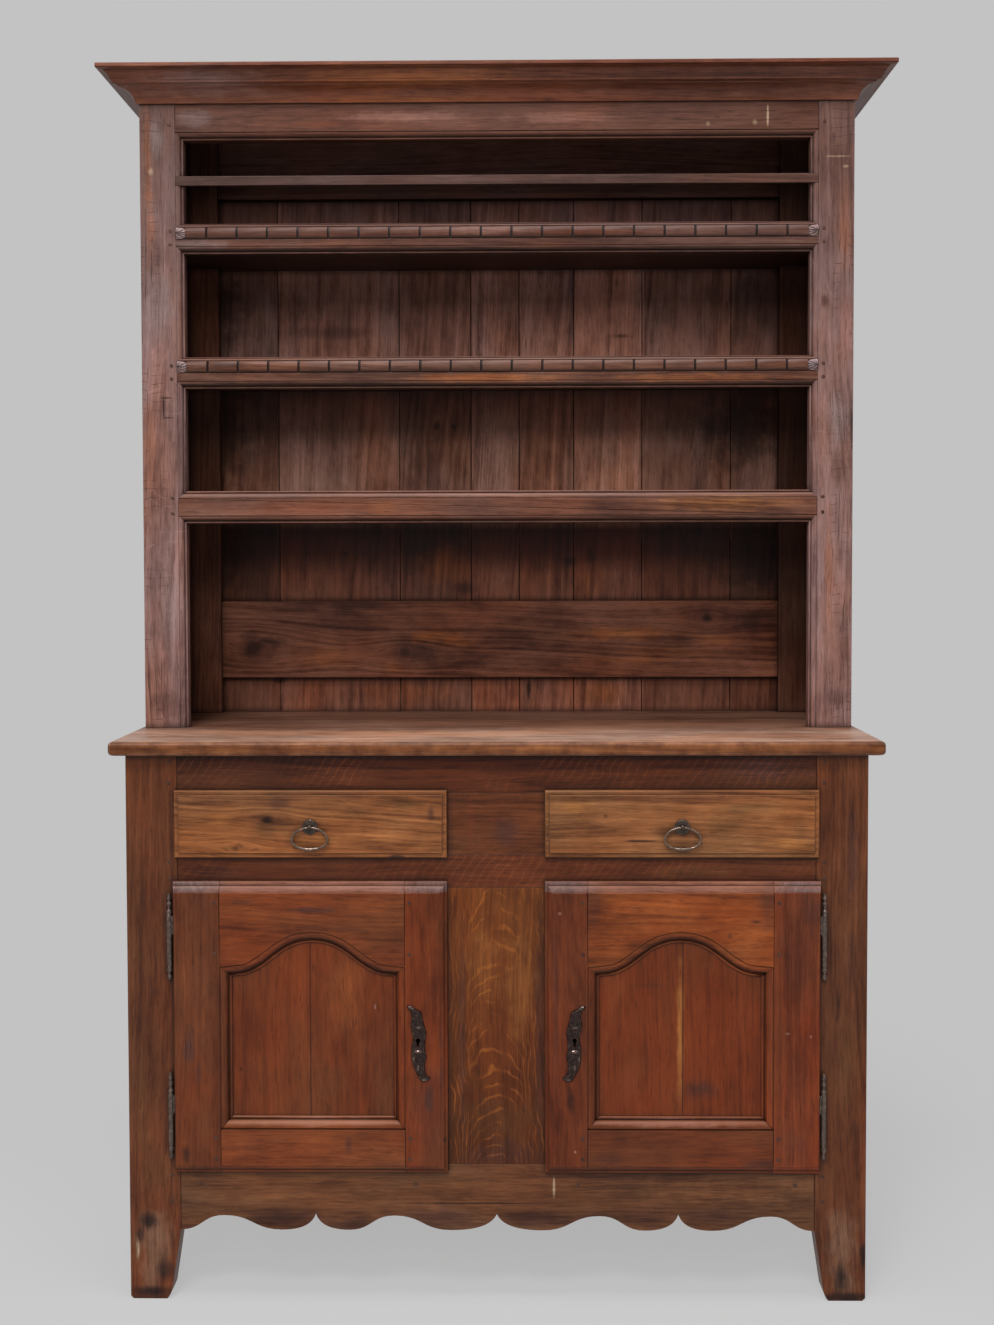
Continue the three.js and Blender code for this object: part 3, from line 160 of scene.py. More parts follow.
# Colours of the marks; a mark of the kind "light" is a paler shade of its part instead
STAINS = {
    "knot": (0.016, 0.006, 0.004),
    "dark": (0.012, 0.005, 0.004),
    "dusty": (0.200, 0.112, 0.070),
    "plum": (0.050, 0.018, 0.013),
    "olive": (0.085, 0.036, 0.012),
    "red": (0.135, 0.030, 0.010),
    "orange": (0.270, 0.080, 0.020),
    "lilac": (0.170, 0.115, 0.105),
    "pink": (0.270, 0.125, 0.092),
    "pale": (0.460, 0.330, 0.210),
    "gold": (0.280, 0.105, 0.025),
}
LIGHTER = (1.55, 1.62, 1.6)

# Knots, stains, rubbed spots and some painted light and shade of each part in millimetres: X, Z, reach in X,
# reach in Z, kind, strength
MARKS = {
    "drawer_front_left": (
        (-388, 831, 11.8, 8.4, "knot", 0.85), (-367, 859, 21.9, 11.8, "plum", 0.6),
        (-441, 783, 8.4, 6.7, "knot", 0.7), (-395, 812, 30, 17, "olive", 0.75),
        (-300, 797, 52, 11, "gold", 0.5), (-160, 860, 60, 10, "olive", 0.6), (-470, 830, 30, 13, "gold", 0.4),
        (-240, 842, 35, 11, "olive", 0.5), (-110, 843, 8.4, 18.5, "plum", 0.75),
        (-332, 869, 185.2, 10.1, "plum", 0.3), (-181, 807, 87.5, 20.2, "light", 0.35),
        (-493, 865, 50.5, 13.5, "plum", 0.35), (-417, 806, 67.3, 16.8, "light", 0.2),
        (-169, 768, 16.8, 3.4, "dark", 0.8),
    ),
    "drawer_front_right": (
        (383, 823, 47.1, 21.9, "olive", 0.5), (244, 795, 30.3, 2.2, "dark", 0.85),
        (300, 812, 42, 11, "dark", 0.45), (420, 850, 60, 9, "olive", 0.6), (130, 852, 45, 12, "gold", 0.5),
        (500, 790, 50, 11, "gold", 0.45), (328, 870, 202, 10.1, "plum", 0.4), (186, 838, 5, 5, "knot", 0.5),
        (156, 807, 70.7, 20.2, "light", 0.35), (455, 834, 50.5, 16.8, "light", 0.2),
        (514, 821, 13.5, 26.9, "olive", 0.35),
    ),
    "frieze_rail": (
        (453, 916, 101.4, 27, "plum", 0.75), (-333, 918, 185.9, 23.7, "plum", 0.2),
        (199, 921, 67.6, 20.3, "light", 0.12),
    ),
    "mid_rail": (
        (-479, 740, 67.6, 16.9, "plum", 0.35), (330, 740, 101.4, 13.5, "olive", 0.3),
        (7, 747, 101.4, 20.3, "light", 0.15),
    ),
    "drawer_divider": (
        (19, 809, 28.7, 35.5, "plum", 0.75), (-44, 829, 8.5, 50.7, "red", 0.35),
        (-35, 863, 13.5, 16.9, "light", 0.3),
    ),
    "door_top_rail_left": (
        (-311, 678, 50.4, 6.7, "plum", 0.8), (-435, 692, 25.2, 5, "plum", 0.5),
        (-214, 687, 50.4, 20.2, "light", 0.35), (-452, 610, 20.2, 37, "light", 0.3),
        (-282, 646, 84.1, 8.4, "plum", 0.3),
    ),
    "door_top_rail_right": (
        (441, 658, 11.8, 4.2, "knot", 0.75), (396, 634, 5.9, 5.9, "knot", 0.7),
        (269, 682, 126.1, 26.9, "light", 0.45), (210, 620, 33.6, 23.5, "light", 0.25),
        (345, 714, 151.3, 5, "plum", 0.2), (265, 668, 85, 33, "orange", 0.35),
        (425, 622, 50, 45, "orange", 0.3), (166, 690, 20, 50, "plum", 0.45), (462, 690, 22, 50, "plum", 0.5),
    ),
    # The lilac marks at the tops of the door stiles are painted sheen along the doors' upper edges
    "door_hinge_stile_left": (
        (-524, 445, 11.8, 40.4, "plum", 0.85), (-531, 258, 10.1, 18.5, "dark", 0.7),
        (-531, 568, 15.1, 57.2, "light", 0.35), (-507, 395, 8.4, 23.5, "plum", 0.5),
        (-498, 687, 23.5, 26.9, "plum", 0.3), (-506, 719, 50.4, 8.4, "lilac", 0.75),
        (-497, 317, 16.8, 50.4, "olive", 0.3),
    ),
    "door_hinge_stile_right": (
        (534, 682, 20.2, 43.7, "plum", 0.55), (494, 467, 4.5, 2.2, "pink", 0.9),
        (533, 462, 2.2, 3, "pink", 0.8), (505, 719, 37, 8.4, "lilac", 0.8),
        (515, 354, 23.5, 84.1, "red", 0.35), (515, 610, 45, 120, "plum", 0.28),
        (505, 270, 40, 50, "plum", 0.3),
    ),
    "door_lock_stile_left": (
        (-115, 357, 11.8, 28.6, "plum", 0.85), (-111, 596, 16.8, 80.7, "light", 0.45),
        (-112, 330, 50, 120, "plum", 0.3), (-94, 421, 5, 100.9, "plum", 0.5),
        (-90, 716, 23.5, 6.7, "lilac", 0.7), (-131, 249, 23.5, 13.5, "red", 0.4),
        (-88, 282, 3.4, 5, "dark", 0.8),
    ),
    "door_lock_stile_right": (
        (126, 355, 8.4, 28.6, "dark", 0.75), (127, 379, 6.7, 10.1, "light", 0.4),
        (117, 718, 30.3, 6.7, "lilac", 0.8), (101, 524, 6.7, 201.8, "plum", 0.4),
        (108, 672, 3, 3, "pink", 0.8), (134, 263, 2.2, 2.2, "pink", 0.8),
    ),
    # The pink bands along the top of the doors' bottom rails are painted highlights on their mouldings
    "door_bottom_rail_left": (
        (-252, 276, 8.4, 20.2, "plum", 0.65), (-313, 313, 155, 9, "pink", 0.6),
        (-429, 269, 40.4, 16.8, "light", 0.3), (-335, 307, 134.5, 5, "light", 0.3),
        (-182, 266, 33.6, 13.5, "light", 0.15),
    ),
    "door_bottom_rail_right": (
        (448, 242, 37, 10.1, "plum", 0.55), (313, 313, 155, 9, "pink", 0.6),
        (261, 288, 33.6, 5, "light", 0.2), (193, 250, 33.6, 10.1, "plum", 0.4),
    ),
    "door_panel_left": (
        (-422, 391, 20.3, 67.5, "red", 0.3), (-285, 365, 50.7, 57.4, "olive", 0.4),
        (-250, 530, 45, 90, "orange", 0.22), (-207, 509, 2, 5, "pink", 0.8),
        (-327, 452, 6.8, 135.1, "light", 0.25), (-404, 521, 23.6, 67.5, "light", 0.2),
        (-437, 401, 3.4, 3.4, "dark", 0.6),
    ),
    "door_panel_right": (
        (313, 470, 6.8, 143.5, "gold", 0.6), (349, 368, 33.8, 20.3, "plum", 0.7),
        (200, 532, 20.3, 74.3, "light", 0.35), (262, 547, 33.8, 5.1, "plum", 0.4),
        (224, 384, 27, 40.5, "red", 0.3), (415, 522, 23.6, 101.3, "red", 0.25),
    ),
    "front_post_left": (
        (-588, 95, 34, 75, "dusty", 0.55), (-596, 35, 22, 30, "dusty", 0.5),
        (-599, 136, 16.9, 18.6, "dark", 0.9), (-613, 113, 8.5, 20.3, "dark", 0.7),
        (-586, 13, 67.6, 13.5, "dark", 0.9), (-570, 49, 18.6, 25.4, "dark", 0.7),
        (-618, 85, 4.2, 20.3, "pale", 0.6), (-582, 216, 33.8, 40.6, "olive", 0.35),
        (-591, 692, 20.3, 152.1, "red", 0.25), (-608, 346, 10.1, 101.4, "olive", 0.4),
    ),
    "front_post_right": (
        (588, 95, 34, 75, "dusty", 0.55), (596, 35, 22, 30, "dusty", 0.5),
        (605, 778, 13.5, 111.6, "plum", 0.7), (582, 507, 5.1, 40.6, "dark", 0.6),
        (627, 75, 6.8, 30.4, "dark", 0.85), (589, 39, 13.5, 37.2, "dark", 0.85),
        (596, 7, 67.6, 10.1, "dark", 0.85), (573, 193, 6, 40, "light", 0.35),
        (573, 880, 23.7, 67.6, "light", 0.15), (599, 418, 20.3, 101.4, "olive", 0.35),
        (602, 590, 13.5, 67.6, "plum", 0.4),
    ),
    "apron": (
        (-366, 143, 87.9, 22, "plum", 0.7), (-249, 133, 57.5, 16.9, "plum", 0.6),
        (-98, 144, 77.8, 23.7, "plum", 0.65), (74, 138, 77.8, 20.3, "plum", 0.65),
        (256, 145, 47.3, 22, "plum", 0.6), (368, 146, 57.5, 20.3, "plum", 0.6),
        (-46, 168, 145.4, 1.5, "dark", 0.75), (98, 197, 2.4, 19, "pale", 0.55),
        (-139, 202, 5.1, 4.2, "dark", 0.7), (-510, 201, 5.1, 5.1, "dark", 0.6),
        (-286, 215, 202.8, 8.5, "olive", 0.4), (211, 215, 135.2, 6.8, "plum", 0.5),
        (400, 192, 170, 27, "light", 0.75),
    ),
    "centre_stile": (
        (-59, 469, 8.5, 236.7, "plum", 0.55), (73, 469, 8.5, 236.7, "plum", 0.55),
        (6, 252, 84.5, 37.2, "plum", 0.5), (6, 313, 84.5, 43.9, "olive", 0.3),
        (40, 538, 33.8, 118.3, "gold", 0.3), (-19, 589, 37.2, 84.5, "gold", 0.25),
    ),
    "rack_stile_left": (
        (-629, 1994, 9.1, 112.8, "orange", 0.4), (-612, 2033, 16.4, 47.3, "lilac", 0.85),
        (-625, 1972, 7.3, 9.1, "pale", 0.5), (-608, 1737, 29.1, 65.5, "lilac", 0.75),
        (-617, 1589, 25.5, 101.9, "pink", 0.55), (-626, 1869, 10.9, 72.8, "orange", 0.3),
        (-605, 1548, 2.2, 23.6, "dark", 0.8), (-601, 1566, 12.7, 1.6, "dark", 0.8),
        (-597, 1530, 10.9, 1.6, "dark", 0.7), (-597, 1181, 16.4, 145.5, "lilac", 0.5),
        (-626, 1217, 9.1, 163.7, "plum", 0.4), (-599, 1012, 40, 25.5, "plum", 0.5),
        (-631, 1472, 14.6, 109.1, "orange", 0.25), (-587, 1833, 16.4, 72.8, "plum", 0.35),
    ),
    "rack_stile_right": (
        (592, 1736, 9.1, 14.6, "plum", 0.8), (617, 1520, 20, 61.8, "lilac", 0.8),
        (642, 1511, 5.5, 50.9, "dark", 0.75), (602, 1251, 10.9, 127.3, "orange", 0.35),
        (614, 1994, 25.5, 2, "pale", 0.45), (628, 1976, 5.5, 2.7, "pale", 0.5),
        (617, 1432, 18.2, 47.3, "plum", 0.5), (628, 1684, 14.6, 90.9, "red", 0.3),
        (628, 1124, 14.6, 90.9, "plum", 0.4), (620, 1018, 40, 21.8, "plum", 0.45),
        (627, 1862, 14.6, 90.9, "orange", 0.3),
    ),
    "rack_top_rail": (
        (-541, 2068, 43.7, 21.8, "lilac", 0.5), (-173, 2068, 116.4, 10.9, "pink", 0.45),
        (-299, 2056, 90.9, 7.3, "red", 0.3), (488, 2067, 2.2, 20, "pale", 0.6),
        (381, 2053, 5.5, 5.5, "pale", 0.35), (115, 2065, 109.1, 10.9, "pink", 0.35),
        (259, 2075, 90.9, 14.6, "plum", 0.4), (465, 2056, 5.5, 7.3, "pale", 0.3),
    ),
    "shelf_rail_upper": (
        (-549, 1841, 72.8, 12.7, "lilac", 0.5), (-29, 1864, 109.1, 10.9, "pink", 0.3),
        (187, 1861, 127.3, 10.9, "red", 0.3), (475, 1860, 90.9, 14.6, "plum", 0.4),
    ),
    "shelf_rail_middle": (
        (-493, 1625, 43.7, 10.9, "dark", 0.5), (-248, 1593, 90.9, 10.9, "plum", 0.5),
        (-30, 1600, 163.7, 10.9, "orange", 0.6), (367, 1599, 200.1, 10.9, "orange", 0.45),
        (-242, 1586, 10.9, 7.3, "dark", 0.7),
    ),
    "shelf_rail_lower": (
        (-51, 1367, 61.8, 20, "plum", 0.6), (413, 1373, 145.5, 21.8, "gold", 0.45),
        (-358, 1366, 163.7, 16.4, "red", 0.35), (-467, 1375, 72.8, 14.6, "plum", 0.3),
        (-207, 1367, 29.1, 16.4, "orange", 0.3),
    ),
    "cornice_front": (
        (95, 2095, 16.1, 7.2, "dark", 0.6), (-170, 2128, 250.9, 17.9, "orange", 0.5),
        (-170, 2097, 215, 10.8, "orange", 0.4), (-525, 2123, 125.4, 25.1, "lilac", 0.4),
        (361, 2118, 215, 21.5, "plum", 0.35), (467, 2093, 143.4, 9, "red", 0.3),
    ),
    # The large dark marks at the left and right ends of each bay are painted shade from the rack's sides
    "rack_back": (
        (-568, 1774, 80.7, 100.9, "dark", 0.75), (543, 1783, 90, 92.8, "dark", 0.4),
        (335, 1754, 48.4, 28.2, "plum", 0.25), (490, 1530, 125.1, 92.8, "dark", 0.75),
        (-544, 1513, 56.5, 113, "dark", 0.65), (-60, 1460, 12.1, 64.6, "light", 0.45),
        (-124, 1540, 8.1, 12.1, "knot", 0.85), (-92, 1538, 8.1, 8.1, "knot", 0.8),
        (-401, 1452, 40.3, 40.3, "light", 0.3), (-311, 1282, 8.1, 8.1, "knot", 0.8),
        (-162, 1295, 30.3, 20.2, "dark", 0.5), (141, 1268, 20.2, 12.1, "dark", 0.75),
        (183, 1278, 12.1, 20.2, "dark", 0.6), (-130, 1480, 70, 70, "orange", 0.3),
        (70, 1470, 60, 80, "orange", 0.32), (-110, 1255, 70, 50, "orange", 0.45),
        (180, 1225, 50, 40, "orange", 0.35), (10, 1740, 50, 70, "orange", 0.22),
        (-250, 1690, 50, 60, "orange", 0.2), (330, 1450, 50, 50, "orange", 0.2),
        (527, 1257, 133.2, 88.8, "dark", 0.75), (-69, 1214, 36.3, 18.2, "dark", 0.65),
        (209, 1001, 60.5, 28.2, "orange", 0.6), (59, 1012, 5, 30.3, "dark", 0.9),
        (-202, 1004, 121, 24.2, "orange", 0.3), (-575, 1272, 72.6, 92.8, "dark", 0.7),
        (-447, 1028, 18.2, 8.1, "dark", 0.8), (43, 1751, 60.5, 121, "light", 0.2),
        (203, 1451, 60.5, 60.5, "light", 0.25), (243, 1718, 28.2, 6.1, "dark", 0.7),
        (-339, 1727, 100.9, 16.1, "plum", 0.5),
    ),
    "back_cross_rail": (
        (-493, 1095, 23, 19, "knot", 1), (-455, 1108, 50, 13, "dark", 0.6), (-150, 1078, 30, 33, "dark", 0.5),
        (-85, 1105, 50, 13, "orange", 0.5), (330, 1085, 120, 20, "orange", 0.3),
        (-350, 1075, 70, 20, "orange", 0.3), (-480, 1090, 50, 35, "plum", 0.5),
        (-501, 1119, 28.1, 10, "plum", 0.6), (-188, 1085, 15, 13, "knot", 0.85),
        (-185, 1100, 40.1, 48, "plum", 0.6), (-125, 1118, 60.1, 20, "orange", 0.65),
        (-210, 1054, 24.1, 16, "orange", 0.4), (254, 1121, 148.3, 16, "orange", 0.55),
        (416, 1153, 11, 11, "knot", 0.8), (524, 1153, 68.1, 32.1, "plum", 0.65),
        (442, 1109, 60.1, 12, "orange", 0.3), (122, 1065, 80.2, 10, "plum", 0.4),
        (242, 1069, 120.3, 8, "orange", 0.25),
    ),
}

# How a part's tone changes with height: pairs of Z and a factor, or one for each of R, G and B
POST_FADES = {
    "right": ((0.05, 1.3), (0.30, 0.95), (0.50, 0.95), (0.80, 1.25)),
    "left": ((0.05, 1.3), (0.30, 1.0), (0.50, 1.0), (0.80, 0.93)),
}
STILE_FADE = ((1.0, 1.42), (1.5, 1.06), (2.1, 0.64))
# The frieze darkens towards its top: painted shadow under the worktop's overhang
FRIEZE_FADE = ((0.905, (1.0, 1.0, 0.95)), (0.938, (0.50, 0.28, 0.19)))
OAK_FADE = ((0.3, 0.66), (0.6, 1.12))
# The cornice in bands by height: painted light on its hollow low down and painted shade on the round above it
CORNICE_FADE = ((2.096, 1.10), (2.106, 1.20), (2.117, 1.0), (2.128, 0.78), (2.138, 1.03))
CORNICE_LOOK = {"slope": 0.1, "dust": 0.3, "fade": CORNICE_FADE}
# The rack's back: painted shade in dark bands under each shelf and painted light in the middle of the bays
BACK_FADE = (
    (1.00, (0.72, 0.58, 0.50)), (1.24, (0.72, 0.58, 0.49)), (1.285, (0.27, 0.14, 0.10)),
    (1.33, (0.10, 0.045, 0.033)), (1.40, (1.25, 1.30, 1.30)), (1.50, (1.70, 1.75, 1.75)),
    (1.565, (0.75, 0.62, 0.60)), (1.60, (0.38, 0.29, 0.28)), (1.66, (1.22, 1.30, 1.45)),
    (1.80, (1.34, 1.46, 1.70)), (1.85, (1.18, 1.20, 1.34)), (1.92, (0.64, 0.64, 0.75)),
)

# Where the boards of the rack's back meet, as X, and how light each board is
BACK_HALF_WIDTH = 0.63
BOARD_JOINTS = (-0.443, -0.200, -0.056, 0.041, 0.150, 0.287, 0.465)
BOARD_TONES = (0.35, 0.60, 0.46, 0.78, 0.62, 0.78, 0.44, 0.32)

# The beads on two shelf rails: Y of their crowns and bed, and how far they lie below the rail's top
BEAD_CROWN = -0.06425
BEAD_BED = -0.05875
BEAD_TOP_DROP = 0.0068
BEAD_FOOT_DROP = 0.0292
BEADED = ("shelf_rail_upper", "shelf_rail_middle")
BEAD_SPANS = tuple(
    (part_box(name)[1].z - BEAD_FOOT_DROP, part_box(name)[1].z - BEAD_TOP_DROP)
    for name in BEADED
)


def camera_axes(pitch, yaw, roll):
    """The camera's right, down and forward directions."""
    ahead = np.array([math.sin(yaw) * math.cos(pitch), math.cos(yaw) * math.cos(pitch), -math.sin(pitch)])
    right = np.array([math.cos(yaw), -math.sin(yaw), 0.0])
    down = np.cross(ahead, right)
    if down[2] > 0:
        down = -down
    turned = math.cos(roll) * right + math.sin(roll) * down
    return turned, -math.sin(roll) * right + math.cos(roll) * down, ahead


def linked(name, data):
    """A new object in the scene's own collection."""
    thing = bpy.data.objects.new(name, data)
    bpy.context.scene.collection.objects.link(thing)
    return thing


def add_camera():
    right, down, ahead = camera_axes(*CAMERA_TURN)
    data = bpy.data.cameras.new("camera")
    camera = linked("camera", data)
    turn = Matrix([right, -down, -ahead]).transposed()
    camera.matrix_world = Matrix.Translation(CAMERA_AT) @ turn.to_4x4()
    data.sensor_width = FILM_WIDTH
    data.sensor_fit = "AUTO"
    data.lens = FOCAL / max(IMAGE) * data.sensor_width
    data.shift_x = (IMAGE[0] / 2 - PRINCIPAL[0]) / max(IMAGE)
    data.shift_y = -(IMAGE[1] / 2 - PRINCIPAL[1]) / max(IMAGE)
    bpy.context.scene.camera = camera


def rgba(colour):
    if isinstance(colour, bpy.types.NodeSocket) or len(colour) == 4:
        return colour
    return (*colour, 1.0)


def tinted(colour, factors):
    return tuple(min(1.0, max(0.0, part * factor)) for part, factor in zip(colour, factors))


class Graph:
    """Short calls for a node tree that ends in one Principled shader."""

    def __init__(self, name):
        self.material = bpy.data.materials.new(name)
        self.material.use_nodes = True
        self.tree = self.material.node_tree
        self.tree.nodes.clear()
        self.shader = self.add("BsdfPrincipled")
        self.output = self.add("OutputMaterial")
        self.put(self.output.inputs[0], self.shader.outputs[0])

    def add(self, kind, **settings):
        node = self.tree.nodes.new("ShaderNode" + kind)
        for key, value in settings.items():
            setattr(node, key, value)
        return node

    def put(self, socket, value):
        if isinstance(value, bpy.types.NodeSocket):
            self.tree.links.new(value, socket)
        else:
            socket.default_value = value

    def math(self, operation, first, second=0.5, clamp=False):
        node = self.add("Math", operation=operation, use_clamp=clamp)
        self.put(node.inputs[0], first)
        self.put(node.inputs[1], second)
        return node.outputs[0]

    def times(self, first, second, clamp=False):
        return self.math("MULTIPLY", first, second, clamp)

    def minus(self, first, second):
        return self.math("SUBTRACT", first, second)

    def size(self, value):
        """The value without its sign."""
        return self.math("ABSOLUTE", value)

    def most(self, first, second):
        """The larger of the two values."""
        return self.math("MAXIMUM", first, second)

    def total(self, *parts):
        """The sum of value times weight over the pairs given."""
        whole = None
        for value, weight in parts:
            part = self.times(value, weight)
            whole = part if whole is None else self.math("ADD", whole, part)
        return whole

    def vector(self, operation, first, second=(0, 0, 0)):
        node = self.add("VectorMath", operation=operation)
        self.put(node.inputs[0], first)
        self.put(node.inputs[1], second)
        return node.outputs["Value" if operation in ("LENGTH", "DOT_PRODUCT") else "Vector"]

    def scaled(self, vector, factors):
        return self.vector("MULTIPLY", vector, factors)

    def split(self, vector):
        node = self.add("SeparateXYZ")
        self.put(node.inputs[0], vector)
        return node.outputs

    def joined(self, x=0.0, y=0.0, z=0.0):
        node = self.add("CombineXYZ")
        for socket, value in zip(node.inputs, (x, y, z)):
            self.put(socket, value)
        return node.outputs[0]

    def mapped(self, vector, scale=(1, 1, 1), location=(0, 0, 0), rotation=(0, 0, 0)):
        node = self.add("Mapping")
        self.put(node.inputs["Vector"], vector)
        node.inputs["Scale"].default_value = scale
        node.inputs["Location"].default_value = location
        node.inputs["Rotation"].default_value = rotation
        return node.outputs[0]

    def noise(self, vector, scale=1.0, detail=2.0, roughness=0.5, output=0):
        node = self.add("TexNoise")
        self.put(node.inputs["Vector"], vector)
        node.inputs["Scale"].default_value = scale
        node.inputs["Detail"].default_value = detail
        node.inputs["Roughness"].default_value = roughness
        return node.outputs[output]

    def stretched(self, vector, scale, detail=2.0, roughness=0.5, location=(0, 0, 0), output=0):
        """Noise with a scale of its own along each axis."""
        return self.noise(self.mapped(vector, scale, location), 1.0, detail, roughness, output)

    def noise_line(self, place, detail=3.0, roughness=0.6):
        node = self.add("TexNoise", noise_dimensions="1D")
        self.put(node.inputs["W"], place)
        node.inputs["Scale"].default_value = 1.0
        node.inputs["Detail"].default_value = detail
        node.inputs["Roughness"].default_value = roughness
        return node.outputs[0]

    def span(self, value, low, high, to_low=0.0, to_high=1.0, smooth=False):
        node = self.add("MapRange", interpolation_type="SMOOTHSTEP" if smooth else "LINEAR")
        self.put(node.inputs[0], value)
        for socket, number in zip(list(node.inputs)[1:5], (low, high, to_low, to_high)):
            socket.default_value = number
        return node.outputs[0]

    def mix(self, factor, first, second, blend="MIX"):
        node = self.add("Mix", data_type="RGBA", blend_type=blend)
        self.put(node.inputs[0], factor)
        self.put(node.inputs[6], rgba(first))
        self.put(node.inputs[7], rgba(second))
        return node.outputs[2]

    def ramp(self, value, stops, steps=False):
        node = self.add("ValToRGB")
        self.put(node.inputs[0], value)
        node.color_ramp.interpolation = "CONSTANT" if steps else "LINEAR"
        elements = node.color_ramp.elements
        while len(elements) < len(stops):
            elements.new(0.5)
        for element, (place, colour) in zip(elements, stops):
            element.position = place
            element.color = rgba(colour)
        return node.outputs[0]

    def normal(self):
        return self.split(self.add("NewGeometry").outputs["Normal"])

    def edge(self, radius, flat, round_):
        """Zero on flats, one on arrises: how far the normal turns within radius."""
        rounded = self.add("Bevel", samples=4)
        rounded.inputs["Radius"].default_value = radius
        true = self.add("NewGeometry").outputs["True Normal"]
        return self.span(self.vector("DOT_PRODUCT", rounded.outputs[0], true), flat, round_, 0.0, 1.0)

    def hollow(self, reach, deep, shallow, strength):
        """Zero in the open, and up to the strength in hollows no wider than the reach."""
        node = self.add("AmbientOcclusion", samples=4)
        node.inputs["Distance"].default_value = reach
        return self.span(node.outputs["AO"], deep, shallow, strength, 0.0)

    def lines(self, field, width):
        """Thin lines where the field passes each whole number and a half."""
        middle = self.size(self.minus(self.math("FRACT", field), 0.5))
        return self.span(middle, width, width * 0.25, 0.0, 1.0, smooth=True)

    def bump(self, height, strength, distance):
        node = self.add("Bump")
        self.put(node.inputs["Height"], height)
        node.inputs["Strength"].default_value = strength
        node.inputs["Distance"].default_value = distance
        self.put(self.shader.inputs["Normal"], node.outputs[0])


# What can be set for one wood: how strong its rings, streaks, strands, fibres, blotches and changes of hue
# are, how its growth rings lie, how worn and painted with highlight its arrises are, how dirty and painted
# with shade its hollows, how dull, holed and scratched it is, how much painted shade faces that look down get
# and how much painted light those that look up, its fade by height, its joint lines and its own extras
PLAIN_WOOD = {
    "figure": 0.25, "streak": 0.25, "strand": 1.0, "fibre": 0.6, "blotch": 0.45, "hue": 0.6,
    "pith": (0.35, 0.06), "spacing": 0.007, "taper": 0.02,
    "wear": 0.4, "grime": 0.85, "gloss": 0.42, "holes": 0.0, "scuffs": 0.0, "slope": 1.0, "dust": 1.0,
    "fade": None, "seams": (), "extras": (),
}

# Turns that lay a board's X along its grain, and how its grain darkens or lightens it: a half keeps the tone
GRAIN_TURNS = {
    "x": (0.0, 0.0, 0.0),
    "y": (0.0, 0.0, -math.pi / 2),
    "z": (0.0, math.pi / 2, 0.0),
}
GRAIN_SHADES = (
    (0.0, (0.17, 0.14, 0.14)),
    (0.3, (0.35, 0.33, 0.33)),
    (0.5, (0.5, 0.5, 0.5)),
    (0.7, (0.62, 0.645, 0.67)),
    (1.0, (0.86, 0.94, 1.0)),
)
HALF = (0.5, 0.5, 0.5)
DOUBLE = (2.0, 2.0, 2.0)

# Marks with a reach under this have a crisper rim
FINE_MARK = 0.004


def wood(name, tone, grain, seed, **changes):
    """Old waxed wood with its grain along one axis, and the marks listed for the part of that name."""
    look = SimpleNamespace(**{**PLAIN_WOOD, **changes})
    graph = Graph(f"wood_{name}")
    point = graph.add("TexCoord").outputs["Object"]
    rough = graph.noise(point, 34.0, 4.0, 0.62)
    marks = marks_of(name)
    fields = grain_fields(graph, look, point, grain, seed, marks)
    colour = base_tone(graph, look, tone, point, fields.hues)
    colour = add_marks(graph, colour, point, rough, tone, marks)
    if "rays" in look.extras:
        colour = add_rays(graph, colour, point, tone)
    if "top" in look.extras:
        colour = tone_worktop(graph, colour, point, rough)
    if "rubbed" in look.extras:
        colour = add_edge_sheen_and_wear(graph, colour, point, rough)
    colour = add_grain(graph, look, colour, tone, fields)
    colour = shade_by_slope(graph, look, colour, tone)
    colour = add_damage(graph, look, colour, point, tone)
    colour = add_wear_and_painted_light(graph, look, colour, rough, tone)
    if "beads" in look.extras:
        colour = shade_beads(graph, colour, point)
    graph.put(graph.shader.inputs["Base Color"], colour)
    graph.bump(graph.total(
        (fields.fibres, 0.5), (fields.strands, 0.4), (fields.streaks, 0.4), (fields.rings, 0.35),
    ), 0.3, 0.0006)
    sheen = graph.total((fields.blotches, 0.25), (fields.fibres, 0.16))
    graph.put(graph.shader.inputs["Roughness"], graph.math("ADD", sheen, look.gloss - 0.2, clamp=True))
    graph.shader.inputs["Specular IOR Level"].default_value = 0.22
    return graph.material


def marks_of(name):
    """The part's marks in metres: place, reach, kind and strength."""
    return [
        ((x / 1000, z / 1000), (reach_x / 1000, reach_z / 1000), kind, strength)
        for x, z, reach_x, reach_z, kind, strength in MARKS.get(name, ())
    ]


def mark_mask(graph, point, rough, place, reach, strength):
    """The strength inside a ragged ellipse in X and Z, falling softly to zero at its rim."""
    offset = graph.vector("SUBTRACT", point, (place[0], 0.0, place[1]))
    away = graph.vector("LENGTH", graph.scaled(offset, (1 / reach[0], 0.0, 1 / reach[1])))
    fine = min(reach) < FINE_MARK
    shift = graph.times(graph.minus(rough, 0.5), 0.7 if fine else 1.5)
    away = graph.math("ADD", away, shift)
    return graph.span(away, 0.55 if fine else 0.15, 1.15, strength, 0.0, smooth=True)


def parted(graph, point, grain, marks):
    """The point moved so that the grain parts around each knot, further along the grain than across."""
    across = (0.0, 0.0, 1.0) if grain == "x" else (1.0, 0.0, 0.0)
    long_x, long_z = (9.0, 4.0) if grain == "x" else (4.0, 9.0)
    for place, reach, kind, _ in marks:
        if kind != "knot":
            continue
        offset = graph.vector("SUBTRACT", point, (place[0], 0.0, place[1]))
        away = graph.scaled(offset, (1 / (long_x * reach[0]), 0.0, 1 / (long_z * reach[1])))
        near = graph.span(graph.vector("LENGTH", away), 0.0, 1.0, 0.9, 0.0, smooth=True)
        pull = graph.scaled(graph.scaled(offset, across), graph.joined(near, near, near))
        point = graph.vector("SUBTRACT", point, pull)
    return point


